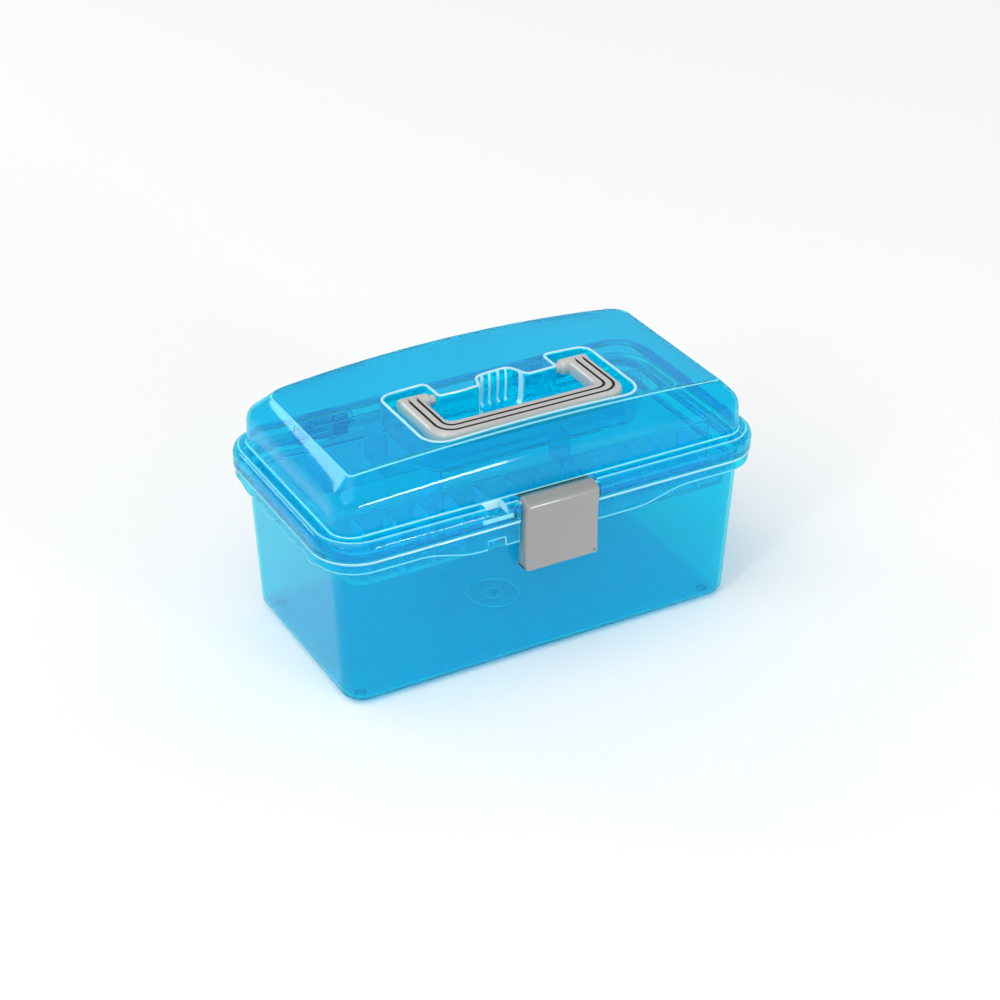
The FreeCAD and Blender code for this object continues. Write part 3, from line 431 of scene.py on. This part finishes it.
# The flange is left out behind the latch, and shut at the two ends there.
left, right = FRONT_XS.index(-NOTCH_X), FRONT_XS.index(NOTCH_X)
# Painted highlights: the flange's rounded edges and shut ends get the paler plastic, the apron's lower edge
# the near-white one.
verts, faces, marks = loft(flange_rings, skip=lambda r, i: left <= i < right, light=(1, 2, 6, 9),
                           bright=(7, 8))
for place in (left, right):
    faces.append(tuple(r * len(wall_plan) + place for r in range(len(flange_rings))))
    marks.append(EDGE_HIGHLIGHT)
clear_piece("tub_flange", (verts, faces, marks), "tub")

# Hinge knuckles: two of the tub and one of the lid at each hinge, as outlines in Y and Z
TUB_KNUCKLE = arc_points((HINGE_Y, HINGE_Z), KNUCKLE_R, 0, 200, 28)
TUB_KNUCKLE += [(73.5, 96.0), (73.5, 90.7), (75.4, 90.7), (80.0, HINGE_Z - KNUCKLE_R)]
LID_KNUCKLE = arc_points((HINGE_Y, HINGE_Z), KNUCKLE_R, 150, 360, 28)
LID_KNUCKLE += [(80.0, 102.0), (76.5, 107.1), (74.7, 107.1), (74.7, 101.0)]
TUB_KNUCKLE_LENGTH, LID_KNUCKLE_HALF = 8, 8
# The knuckles are wholly in the paler plastic: a painted highlight.
for side, middle in (("left", -HINGE_X), ("right", HINGE_X)):
    for end, start in (("a", middle - 16.4), ("b", middle + 8.4)):
        knuckle = marked(prism(TUB_KNUCKLE, start, start + TUB_KNUCKLE_LENGTH), EDGE_HIGHLIGHT)
        soften(clear_piece("tub_knuckle_%s_%s" % (side, end), knuckle, "tub"), 0.5)
    knuckle = marked(prism(LID_KNUCKLE, middle - LID_KNUCKLE_HALF, middle + LID_KNUCKLE_HALF), EDGE_HIGHLIGHT)
    soften(clear_piece("lid_knuckle_" + side, knuckle, "lid"), 0.5)

# Catch for the latch's hook, then the marks and feet of the floor
CATCH = [(-74.0, 80.0), (-68.2, 80.0), (-68.2, 85.5), (-72.8, 83.2), (-74.0, 82.0)]
soften(clear_piece("tub_catch", prism(CATCH, -9, 9), "tub"), 0.4)


def turned(middle, profile, light=(), close=False):
    """Round shape about an upright line from a profile of (radius, level), capped or closed to a ring."""
    rings = [[(x, y, level) for x, y in oval(middle, radius, radius, 48)] for radius, level in profile]
    if close:
        return loft(rings + [rings[0]], light=light)
    return loft(rings, True, True, light=light)


FLOOR_Z = BASE_Z + WALL
# The edges of the gate rings and the feet are in the paler plastic: a painted highlight.
for name, outer, inner, height in (("ring", 16.0, 14.4, 0.7), ("mark", 6.5, 5.2, 0.6)):
    profile = [(outer, FLOOR_Z - 0.1), (outer - 0.2, FLOOR_Z + height), (inner + 0.2, FLOOR_Z + height),
               (inner, FLOOR_Z - 0.1)]
    clear_piece("tub_gate_" + name, turned((0, 0), profile, light=(0, 1, 2), close=True), "tub")
POINT = [(1.6, FLOOR_Z - 0.1), (1.6, FLOOR_Z + 0.7), (1.0, FLOOR_Z + 1.1)]
clear_piece("tub_gate_point", turned((0, 0), POINT), "tub")
FOOT = [(2.9, 0.0), (3.3, 0.4), (3.3, 0.9), (1.9, 0.9), (1.9, 0.4), (2.3, 0.0)]
FOOT_X, FOOT_Y = 114.2, 52.6
for number, (x, y) in enumerate(((-FOOT_X, -FOOT_Y), (FOOT_X, -FOOT_Y), (-FOOT_X, FOOT_Y), (FOOT_X, FOOT_Y)),
                                start=1):
    clear_piece("tub_foot_%d" % number, turned((x, y), FOOT, light=(0, 4, 5), close=True), "tub")


# Lid: rim, ledge, dome with slanting shoulders, arched top and handle well, as one sheet with a thickness

SOFT_FRONT, SOFT_BACK = 2.5, 9.0  # corner radii of the crease
BEND, FOLD = 5.2, 1.3  # how far the rounding runs below and above the bend, and round the crease
BEND_STEPS, FOLD_STEPS = 8, 4


def roof(x):
    """Level of the arched top."""
    return CREASE_Z + CROWN * (1 - (x / CREASE_X) ** 2)


def crease_point(x, y):
    """Place on the crease that belongs to a place on the dome outline."""
    inner_x, inner_y, soft = DOME_X - DOME_R, DOME_Y - DOME_R, SOFT_FRONT if y < 0 else SOFT_BACK
    if abs(x) > inner_x and abs(y) > inner_y:
        angle = math.atan2(abs(y) - inner_y, abs(x) - inner_x)
        cx = CREASE_X - soft + soft * math.cos(angle)
        cy = CREASE_Y - soft + soft * math.sin(angle)
        return Vector((math.copysign(cx, x), math.copysign(cy, y), roof(cx)))
    if abs(x) <= inner_x:
        cx = x * (CREASE_X - soft) / inner_x
        cy = CREASE_Y + BOW * (1 - (cx / CREASE_X) ** 2)
        return Vector((cx, math.copysign(cy, y), roof(cx)))
    return Vector((math.copysign(CREASE_X, x), y * (CREASE_Y - soft) / inner_y, roof(CREASE_X)))


rim_levels = [(0.35, RIM_Z), (0.0, RIM_Z + 0.4), (0.0, RIM_Z + 1.0), (0.0, RIM_CLEAR_Z - 0.03),
              (0.0, RIM_CLEAR_Z + 0.02), (0.0, EYE_Z)]
rim_levels += [(RIM_ROUND * (1 - c), EYE_Z + RIM_ROUND * s) for s, c in quarter(7)][1:]
rim_top = len(rim_levels)
lid_rings = [[[x, y, z] for x, y in inset_plan(RIM_X, RIM_Y, RIM_R, inset)] for inset, z in rim_levels]
for out, z in ((0.62, LEDGE_Z), (0.58, LEDGE_Z), (0.3, LEDGE_Z + 0.12), (0.08, LEDGE_Z + 0.5)):
    lid_rings.append([[x, y, z] for x, y in inset_plan(DOME_X, DOME_Y, DOME_R, -out)])
for r, ring in enumerate(lid_rings):
    for point in ring:
        x, y, z = point
        if y < 0 and abs(x) <= NOTCH_X + 1e-6:
            point[1] = max(y, -NOTCH_Y)
        elif y < -60 and abs(x - EYE_X) <= EYE_POCKET + 1e-6 and r <= rim_top:
            point[2] = min(z, EYE_Z)
        elif y > 60 and near_knuckle(x, True) and z < RIM_CLEAR_Z:
            point[1] = min(y, HINGE_CLEAR_Y)
lid_rings.append([[x, y, LEDGE_Z + 1.4] for x, y in plan(DOME_X, DOME_Y, DOME_R)])
lid_rings.append([[x, y, 120.0] for x, y in inset_plan(DOME_X, DOME_Y, DOME_R, 0.25)])
bend_rings = [[] for _ in range(BEND_STEPS + 1)]
fold_rings = [[] for _ in range(FOLD_STEPS + 1)]
for (x, y), (bx, by) in zip(plan(DOME_X, DOME_Y, DOME_R), inset_plan(DOME_X, DOME_Y, DOME_R, 0.5)):
    corner = Vector((bx, by, BEND_Z))
    fold = crease_point(x, y)
    slope = (fold - corner).normalized()
    inner = fold + Vector((-fold.x, -fold.y, 0)).normalized() * FOLD
    inner.z = roof(inner.x)
    below, above = corner - Vector((0, 0, BEND)), corner + slope * BEND
    for i, ring in enumerate(bend_rings):
        ring.append(bezier(below, corner, above, i / BEND_STEPS))
    for i, ring in enumerate(fold_rings):
        ring.append(bezier(fold - slope * FOLD, fold, inner, i / FOLD_STEPS))
lid_rings += bend_rings + [[(a + b) / 2 for a, b in zip(bend_rings[-1], fold_rings[0])]] + fold_rings
lid_rings = [[tuple(p) for p in ring] for ring in lid_rings]
fold_start = len(lid_rings) - len(fold_rings)

# The rounding over the padlock eye is left out; the eye's flat plate is filled in below.
EYE_RING = 5  # ring of the rim that lies at the plate's level
eye_left, eye_right = FRONT_XS.index(EYE_X - EYE_POCKET), FRONT_XS.index(EYE_X + EYE_POCKET)
# Painted highlights: the rim's rounding, the ledge and the crease get the paler plastic; the rim's lower edge
# and the dome's foot get the near-white one.
verts, faces, marks = loft(
    lid_rings, skip=lambda r, i: eye_left <= i < eye_right and EYE_RING <= r < rim_top,
    light=(rim_top - 3, rim_top, rim_top + 2, fold_start + 1, fold_start + 2), bright=(0, 1, rim_top + 1))
# The padlock eye's walls and top edge get a painted highlight in the near-white plastic, and its front strip
# one in the paler plastic.
for n, face in enumerate(faces):
    r, i = divmod(face[0], len(lid_rings[0]))
    if 3 <= r <= rim_top and i in (eye_left - 1, eye_right) or r == rim_top and eye_left <= i < eye_right:
        marks[n] = GLINT
    if r in (3, 4) and eye_left - 3 <= i < eye_right + 3:
        marks[n] = EDGE_HIGHLIGHT
eye_loop = lid_rings[EYE_RING][eye_left:eye_right + 1]
eye_loop += [lid_rings[r][eye_right] for r in range(EYE_RING + 1, rim_top)]
eye_loop += lid_rings[rim_top][eye_left:eye_right + 1][::-1]
eye_loop += [lid_rings[r][eye_left] for r in range(rim_top - 1, EYE_RING, -1)]


def round_corners(corners, size):
    """Points along a closed outline of (across, up, radius) corners, no more than size apart."""
    arcs = []
    count = len(corners)
    for i in range(count):
        here = Vector(corners[i][:2])
        radius = corners[i][2]
        back = (Vector(corners[i - 1][:2]) - here).normalized()
        onward = (Vector(corners[(i + 1) % count][:2]) - here).normalized()
        half = back.angle(onward) / 2
        run = radius / math.tan(half)
        middle = here + (back + onward).normalized() * (radius / math.sin(half))
        a, b = here + back * run, here + onward * run
        start = math.atan2(a.y - middle.y, a.x - middle.x)
        turn = math.atan2(b.y - middle.y, b.x - middle.x) - start
        turn = (turn + math.pi) % (2 * math.pi) - math.pi
        pieces = max(4, int(abs(turn) * radius / 1.2))
        arcs.append([middle + Vector((math.cos(start + turn * j / pieces),
                                      math.sin(start + turn * j / pieces))) * radius
                     for j in range(pieces + 1)])
    out = []
    for i in range(count):
        out += arcs[i]
        a, b = arcs[i][-1], arcs[(i + 1) % count][0]
        pieces = int((b - a).length // size)
        out += [a + (b - a) * j / pieces for j in range(1, pieces)]
    return [(p.x, p.y) for p in out]


def grown(points, amount):
    """Outline moved outwards by an amount, or inwards by a negative one."""
    area = sum(a[0] * b[1] - b[0] * a[1] for a, b in zip(points, points[1:] + points[:1]))
    amount = math.copysign(amount, area * amount)
    out = []
    for i, (x, y) in enumerate(points):
        side = (Vector(points[(i + 1) % len(points)]) - Vector(points[i - 1])).normalized()
        out.append((x + side.y * amount, y - side.x * amount))
    return out


# Handle well: (across, up, radius) of the corners of its edge as seen from above
WELL = [(38.9, -4.8, 3.0), (28.0, -5.6, 10.0), (17.8, -6.2, 4.5), (12.2, 6.6, 5.0), (-8.8, 5.0, 5.0),
        (-12.0, -5.4, 2.4), (-23.0, -6.4, 8.0), (-38.9, -5.4, 3.0), (-39.0, 11.5, 3.2), (-67.0, 11.5, 6.0),
        (-67.0, -51.5, 13.0), (67.0, -51.5, 13.0), (67.0, 11.5, 6.0), (39.0, 11.5, 3.2)]
well_edge = round_corners(WELL, 0.8)
WELL_TOP, WELL_ROUND, WELL_STEPS = 1.4, 2.5, 12  # fall at the lip, rounding at the floor, rings of the wall
FLUTE_START, FLUTE_END, FLUTE_PITCH, FLUTE_HEIGHT = -8.0, 19.0, 5.4, 0.8
SCOOP_Y = -12  # the finger scoop lies behind it


def flute_depth(x):
    """How far out a place stands on the flutes of the finger scoop, from 0 to 1."""
    if not FLUTE_START < x < FLUTE_END:
        return 0.0
    return 0.5 - 0.5 * math.cos(2 * math.pi * (x - FLUTE_START) / FLUTE_PITCH)


def flute(x, y, depth):
    """Place on the soft upright flutes of the finger scoop; they fade at the well's top and floor."""
    if y < SCOOP_Y:
        return (x, y)
    return (x, y - FLUTE_HEIGHT * math.sin(math.pi * depth) ** 0.6 * flute_depth(x))


def glints(r, x, y):
    """Whether a face of the well gets a painted glint: on its lip, the scoop's left wall or a flute's crest.
    """
    return r < 4 or SCOOP_Y < y < 10 and (-12.6 < x < -10.2 or flute_depth(x) > 0.75)


well_rings = [[(x, y, roof(x) + rise) for x, y in grown(well_edge, out)] for out, rise in
              ((1.7, 0.0), (1.4, 0.35), (0.8, 0.5), (0.25, 0.3), (0.0, -0.3), (0.0, -WELL_TOP))]
for i in range(1, WELL_STEPS):
    ring = []
    for x, y in well_edge:
        top = roof(x) - WELL_TOP
        ring.append((*flute(x, y, i / WELL_STEPS), top + (WELL_FLOOR + WELL_ROUND - top) * i / WELL_STEPS))
    well_rings.append(ring)
well_rings += [[(x, y, WELL_FLOOR + WELL_ROUND * (1 - s)) for x, y in grown(well_edge, -2.0 * (1 - c))]
               for s, c in quarter(5)]


def inside(p, loop):
    """Whether a place lies inside a closed outline."""
    odd = False
    for (ax, ay), (bx, by) in zip(loop, loop[1:] + loop[:1]):
        if (ay > p[1]) != (by > p[1]) and p[0] < (bx - ax) * (p[1] - ay) / (by - ay) + ax:
            odd = not odd
    return odd


def far(p, loop, limit):
    """Whether a place lies further than the limit from every point of an outline."""
    return all((p[0] - q[0]) ** 2 + (p[1] - q[1]) ** 2 > limit * limit for q in loop)


def fill(outer, holes, extra, height, mark):
    """Adds a sheet between an outline and holes to the lid's verts, faces and marks.

    The extra places are used where they are clear of every outline; height gives the level from x.
    """
    loops = []
    for loop in [outer] + holes:
        kept = []
        for p in loop:
            if not kept or (Vector(p[:2]) - Vector(kept[-1])).length > 1e-4:
                kept.append(tuple(p[:2]))
        loops.append(kept)
    spots, borders = [], []
    for loop in loops:
        start = len(spots)
        spots += [Vector(p) for p in loop]
        borders += [(start + i, start + (i + 1) % len(loop)) for i in range(len(loop))]
    spots += [Vector(p) for p in extra if inside(p, loops[0]) and far(p, loops[0], 2.5)
              and not any(inside(p, hole) or not far(p, hole, 2.0) for hole in loops[1:])]
    flat, _, tris, _, _, _ = delaunay_2d_cdt(spots, borders, [], 0, 1e-6)
    start = len(verts)
    verts.extend((p.x, p.y, height(p.x)) for p in flat)
    for tri in tris:
        centre = sum((flat[i] for i in tri), Vector((0, 0))) / len(tri)
        if inside(centre, loops[0]) and not any(inside(centre, hole) for hole in loops[1:]):
            faces.append(tuple(start + i for i in tri))
            marks.append(mark)


grid = [(float(x), float(y)) for x in range(-115, 116, 5) for y in range(-55, 56, 5)]
fill(lid_rings[-1], [well_rings[0]], grid, roof, BODY)
fill(eye_loop, [oval((EYE_X, EYE_Y), 2.6, 2.4, 36)], [], lambda x: EYE_Z, BODY)
base = len(verts)
well_verts, well_faces, _ = loft(well_rings)
verts += well_verts
# The well's walls and floor are in the paler plastic, which is painted light; their glints are in the
# near-white one, a painted highlight.
for face in well_faces:
    r, i = divmod(face[0], len(well_edge))
    faces.append(tuple(base + v for v in face))
    marks.append(GLINT if glints(r, *well_edge[i]) else PAINTED_WELL_LIGHT)
fill(well_rings[-1], [], grid, lambda x: WELL_FLOOR, PAINTED_WELL_LIGHT)
lid_shell = clear_piece("lid_shell", (verts, faces, marks), "lid", sharp=42)
wall = lid_shell.modifiers.new("wall", "SOLIDIFY")
wall.thickness = WALL * MM
wall.offset = -1.0
wall.use_even_offset = True
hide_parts("lid")


# Latch: one sheet with side flanges, a barrel round the pin and a hook; outlines in Y and Z

LATCH_HALF, LATCH_ROUND = 23.5, 2.2
FRONT_FACE = arc_points((-78.6, 69.4), 1.4, 265, 180, 5)
FRONT_FACE += [(-80.0 + 0.7 * math.sin(math.pi * i / 12), 69.4 + 38.5 * i / 12) for i in range(1, 12)]
RIDGE = arc_points((-76.4, 107.97), 3.6, 180, 104, 9)
TOP_FACE = [(-76.2, 111.75), (-75.1, 112.15), (-74.0, 112.55)]
BARREL = arc_points((-72.5, 109.3), 3.6, 98, -62, 12)
SIDE_BACK = [(-70.9, 106.3), (-72.0, 104.6), (-70.75, 99.5), (-69.15, 69.0), (-69.6, 68.0)]
latch_line = FRONT_FACE + RIDGE + TOP_FACE + BARREL + SIDE_BACK
ends = [(LATCH_HALF - LATCH_ROUND * (1 - s), LATCH_ROUND * (1 - c)) for s, c in quarter(6)]
stations = [(-x, inset) for x, inset in reversed(ends)] + ends
latch_rings = [[(x, y, z) for y, z in grown(latch_line, -inset)] for x, inset in stations]
latch_shell = mesh_piece("latch_shell", loft(latch_rings, True, True), (latch_grey,))
INSIDE = [(-78.0, 60.0), (-77.7, 88.0), (-78.0, 106.2), (-72.5, 105.2), (-60.0, 105.2), (-60.0, 60.0)]
inside_half = LATCH_HALF - WALL
carve(latch_shell, mesh_piece("latch_inside", prism(INSIDE, -inside_half, inside_half), (latch_grey,)))
fit(latch_shell, "latch")
HOOK = [(-78.6, 77.2), (-71.6, 77.2), (-71.2, 77.8), (-71.2, 79.7), (-72.4, 79.7), (-78.6, 79.0)]
hook = mesh_piece("latch_hook", prism(HOOK, -7, 7), (latch_grey,))
soften(hook, 0.3)
fit(hook, "latch")
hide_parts("latch")

# A small dark mark low on the right of the front panel
mark_rings = [[(x, y, z) for x, z in oval((20.4, 70.6), size, size, 24)]
              for size, y in ((0.8, -79.0), (0.8, -79.85), (0.5, -79.97))]
fit(mesh_piece("latch_mark", loft(mark_rings, True, True), (groove_shade_and_mark_black,)), "latch")


# Handle: a U of flattened section with two grooves along its top, painted near-black as shade

OUTER_X, OUTER_Y, OUTER_R = 61.0, 49.0, 13.0
INNER_X, INNER_Y, INNER_R = 47.0, 33.0, 4.0
ARM_WIDTH, BAR_WIDTH = OUTER_X - INNER_X, OUTER_Y - INNER_Y
GRIP_LOW, GRIP_TOP = 139.0, 148.4
GROOVES = (3.8, 8.8)  # where they start, from the outer side
GROOVE_SHADE = 1  # mark of a face in the second of the handle's materials


def handle_stations():
    """Pairs of an outer and an inner place round the U, from the right arm to the left."""
    outer_x, outer_y = OUTER_X - OUTER_R, OUTER_Y - OUTER_R
    inner_x, inner_y = INNER_X - INNER_R, INNER_Y - INNER_R
    pairs = [((OUTER_X, -outer_y * i / 8), (INNER_X, -inner_y * i / 8)) for i in range(9)]
    for s, c in quarter(12)[1:]:
        pairs.append(((outer_x + OUTER_R * c, -outer_y - OUTER_R * s),
                      (inner_x + INNER_R * c, -inner_y - INNER_R * s)))
    pairs += [((outer_x * (1 - i / 8), -OUTER_Y), (inner_x * (1 - i / 8), -INNER_Y)) for i in range(1, 9)]
    return pairs + [((-a[0], a[1]), (-b[0], b[1])) for a, b in reversed(pairs[:-1])]


def handle_section(width):
    """Closed section of (distance from the outer side, height, whether it lies in a groove)."""
    low, top = GRIP_LOW, GRIP_TOP
    points = [(*p, False) for p in arc_points((2.2, low + 2.2), 2.2, 270, 180, 6)]
    points += [(*p, False) for p in arc_points((3.4, top - 3.4), 3.4, 180, 97, 6)]
    for start in GROOVES:
        points += [(start, top, False), (start + 0.2, top - 1.0, True), (start + 0.8, top - 1.2, True),
                   (start + 1.4, top - 1.0, True), (start + 1.6, top, False)]
    points += [(*p, False) for p in arc_points((width - 3.2, top - 3.2), 3.2, 86, 0, 6)]
    points += [(*p, False) for p in arc_points((width - 2.2, low + 2.2), 2.2, 0, -90, 6)]
    return points


grip_rings = []
for outer, inner in handle_stations():
    width = ARM_WIDTH + (BAR_WIDTH - ARM_WIDTH) * smooth_step((abs(outer[1]) - (OUTER_Y - OUTER_R)) / OUTER_R)
    a, b = Vector(outer), Vector(inner)
    grip_rings.append([(*(a + (b - a) * (d / width)), z) for d, z, _ in handle_section(width)])
in_groove = [dark for _, _, dark in handle_section(ARM_WIDTH)]
verts, faces, marks = loft(grip_rings, True, True)
for n in range((len(grip_rings) - 1) * len(in_groove)):
    i = n % len(in_groove)
    if in_groove[i] or in_groove[(i + 1) % len(in_groove)]:
        marks[n] = GROOVE_SHADE
handle_bow = mesh_piece("handle_bow", (verts, faces, marks), (handle_silver, groove_shade_and_mark_black), sharp=50)
fit(handle_bow, "handle")

# Stub and thin pivot at the end of each arm: (X, radius)
STUB = [(60.6, 2.6), (60.9, 3.4), (60.6, 4.0), (59.9, 4.5), (58.8, 4.66), (52, 4.66), (44.6, 4.66),
        (43.3, 4.4), (42.5, 3.7), (42.2, 3.0), (39.15, 3.0)]
for side, sign in (("left", -1), ("right", 1)):
    rings = [[(sign * x, y, z) for y, z in oval((0, PIVOT_Z), radius, radius, 40)] for x, radius in STUB]
    stub = mesh_piece("handle_stub_" + side, loft(rings, True, True), (handle_silver,), sharp=60)
    fit(stub, "handle")
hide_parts("handle")


# Tray: pan with a flange, two spine walls and rows of fins

BRIM_X, BRIM_Y = 4.5, 3.6  # how far the flange stands out at the ends and at the long sides
BRIM_LOW = 92.75


def tray_ring(inset, z):
    """Ring of the tray; a negative inset reaches out over the flange."""
    grow_y = -inset if inset > 0 else BRIM_Y * -inset / BRIM_X
    return [(x, y, z) for x, y in plan(TRAY_X - inset, TRAY_Y + grow_y, 10 - 0.9 * inset)]


tray_rings = [tray_ring(inset, z) for inset, z in
              ((0.6, TRAY_Z), (0, TRAY_Z + 0.6), (0, BRIM_LOW), (0.4 - BRIM_X, BRIM_LOW), (-BRIM_X, 93.1),
               (-BRIM_X, 94.0), (0.3 - BRIM_X, TRAY_TOP), (TRAY_SHEET - 0.3, TRAY_TOP), (TRAY_SHEET, 94.0),
               (TRAY_SHEET, 80.4), (TRAY_SHEET + 0.8, TRAY_Z + TRAY_SHEET))]
# The flange's top edges get the paler plastic: a painted highlight.
tray_pan = clear_piece("tray_pan", loft(tray_rings, True, True, light=(4, 5, 7)), "tray")
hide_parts("tray")

# Spine walls, and fins that run from them down to the tray's long sides; outlines in Y and Z
SPINE_HALF, SPINE_LOW, SPINE_TOP = 122, 79.0, 108.5
FIN_TOP, FIN_MIDDLE, FIN_PITCH = 106.5, 4.9, 19.25
FIN_SLOPE = [(52.6, FIN_TOP), (54.8, 105.9), (56.4, 104.5), (61.6, 97.0), (62.3, 95.8), (62.5, 94.6),
             (62.5, SPINE_LOW)]
# The spine tops and the whole fins are in the paler plastic: a painted highlight.
for side, sign, near, places in (("front", -1, 38.4, range(-6, 6)), ("back", 1, 33.4, range(-5, 6, 2))):
    beyond = near + TRAY_SHEET
    spine = [(sign * near, SPINE_LOW), (sign * near, SPINE_TOP), (sign * beyond, SPINE_TOP),
             (sign * beyond, SPINE_LOW)]
    soften(clear_piece("tray_spine_" + side, prism(spine, -SPINE_HALF, SPINE_HALF, (1,)), "tray"), 0.4)
    root = near + TRAY_SHEET / 2
    slope = [(sign * y, z) for y, z in [(root, SPINE_LOW), (root, FIN_TOP)] + FIN_SLOPE]
    for place in places:
        x = FIN_MIDDLE + FIN_PITCH * place
        fin = marked(prism(slope, x - TRAY_SHEET / 2, x + TRAY_SHEET / 2), EDGE_HIGHLIGHT)
        soften(clear_piece("tray_fin_%s_%d" % (side, place + 6), fin, "tray"), 0.3)

# Tray handle: one strap bent to an arch, with its feet on the tray floor.  The line runs along X and Z.
foot, leg, top_z, turn = (51.4, 80.7), 42.4, 111.7, 9.0
half_line = [foot, (48.0, 80.7), (44.6, 80.7)] + arc_points((44.6, 82.9), 2.2, -90, -180, 6)[1:]
half_line += [(leg, z) for z in (86, 92, 98, top_z - turn)]
half_line += arc_points((leg - turn, top_z - turn), turn, 0, 90, 10)[1:]
half_line += [(x, top_z) for x in (24, 12, 0)]
line = half_line + [(-x, z) for x, z in reversed(half_line[:-1])]
STRAP_SECTION = ((-14.3, -0.6), (-13.9, -0.95), (8.6, -0.95), (9.0, -0.6), (9.0, 0.6), (8.6, 0.95),
                 (-13.9, 0.95), (-14.3, 0.6))  # (Y, distance across the strap)
strap_rings = []
for i, (x, z) in enumerate(line):
    ahead, behind = Vector(line[min(i + 1, len(line) - 1)]), Vector(line[max(i - 1, 0)])
    way = (ahead - behind).normalized()
    ring = []
    for y, across in STRAP_SECTION:
        ring.append((x - way.y * across, y, z + way.x * across))
    strap_rings.append(ring)
# The whole strap is in the paler plastic: a painted highlight.
tray_strap = clear_piece("tray_strap", marked(loft(strap_rings, True, True), EDGE_HIGHLIGHT), "tray")
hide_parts("tray_handle")

# Pins are carried over from the CAD model.
for node in ("hinge_pin_left", "hinge_pin_right", "latch_pin"):
    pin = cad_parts[node]
    pin.data.materials.clear()
    pin.data.materials.append(pin_steel)


# Floor, light and camera, in metres and watts

FLOOR_HALF = 6
SKY_STRENGTH = 0.555
SUN_STRENGTH, SUN_WIDTH, SUN_WAY = 1.27, 60, (0.40, 0.22, -0.88)
LAMP_AIM = (0, 0, 0.1)

floor_mesh = bpy.data.meshes.new("floor")
floor_mesh.from_pydata([(x * FLOOR_HALF, y * FLOOR_HALF, 0) for x, y in ((-1, -1), (1, -1), (1, 1), (-1, 1))],
                       [], [(0, 1, 2, 3)])
floor = bpy.data.objects.new("floor", floor_mesh)
bpy.context.scene.collection.objects.link(floor)
floor_white, nodes, links, out = new_material("floor_white")
links.new(principled(nodes, (0.95, 0.955, 0.945), 0.9).outputs["BSDF"], out.inputs["Surface"])
floor_mesh.materials.append(floor_white)

world = bpy.data.worlds.new("studio")
bpy.context.scene.world = world
world.use_nodes = True
sky = world.node_tree.nodes["Background"]
sky.inputs["Color"].default_value = (1, 1, 1, 1)
sky.inputs["Strength"].default_value = SKY_STRENGTH


def aim(thing, way):
    thing.rotation_mode = "QUATERNION"
    thing.rotation_quaternion = way.to_track_quat("-Z", "Y")


def area_light(name, place, size, power):
    lamp = bpy.data.lights.new(name, "AREA")
    lamp.shape = "RECTANGLE"
    lamp.size, lamp.size_y = size
    lamp.energy = power
    made = bpy.data.objects.new(name, lamp)
    made.location = place
    aim(made, Vector(LAMP_AIM) - Vector(place))
    bpy.context.scene.collection.objects.link(made)


sun = bpy.data.objects.new("overhead", bpy.data.lights.new("overhead", "SUN"))
sun.data.energy = SUN_STRENGTH
sun.data.angle = math.radians(SUN_WIDTH)
aim(sun, Vector(SUN_WAY))
bpy.context.scene.collection.objects.link(sun)
area_light("strip_right", (0.60, -1.9, 0.34), (0.42, 0.2), power=12.5)
area_light("strip_back", (-0.98, 1.5, 0.95), (0.5, 0.3), power=3.0)
area_light("strip_left", (-1.5, -0.9, 1.1), (0.14, 0.6), power=5.0)

# Camera as fitted to the photo
AZ, EL, ROLL = math.radians(-29.28), math.radians(30.55), math.radians(0.45)
TARGET, DISTANCE, LENS = (0.00011, -0.00725, 0.07075), 1.3181, 81.36
back_way = Vector((math.sin(AZ) * math.cos(EL), -math.cos(AZ) * math.cos(EL), math.sin(EL)))
right_way = Vector((math.cos(AZ), math.sin(AZ), 0))
up_way = back_way.cross(right_way)
rows = (right_way * math.cos(ROLL) + up_way * math.sin(ROLL),
        up_way * math.cos(ROLL) - right_way * math.sin(ROLL), back_way)
camera_data = bpy.data.cameras.new("camera")
camera = bpy.data.objects.new("camera", camera_data)
bpy.context.scene.collection.objects.link(camera)
bpy.context.scene.camera = camera
camera.rotation_mode = "QUATERNION"
camera.rotation_quaternion = Matrix(rows).transposed().to_quaternion()
camera.location = Vector(TARGET) + back_way * DISTANCE
camera_data.sensor_width = 36.0
camera_data.lens = LENS
camera_data.clip_start = 0.05
camera_data.clip_end = 50

# Many thin clear walls lie behind one another, so light needs more bounces than the defaults give.
scene = bpy.context.scene
scene.view_settings.view_transform = "Standard"
scene.cycles.max_bounces = 40
scene.cycles.diffuse_bounces = 16
scene.cycles.glossy_bounces = 16
scene.cycles.transmission_bounces = 40
scene.cycles.blur_glossy = 0.0
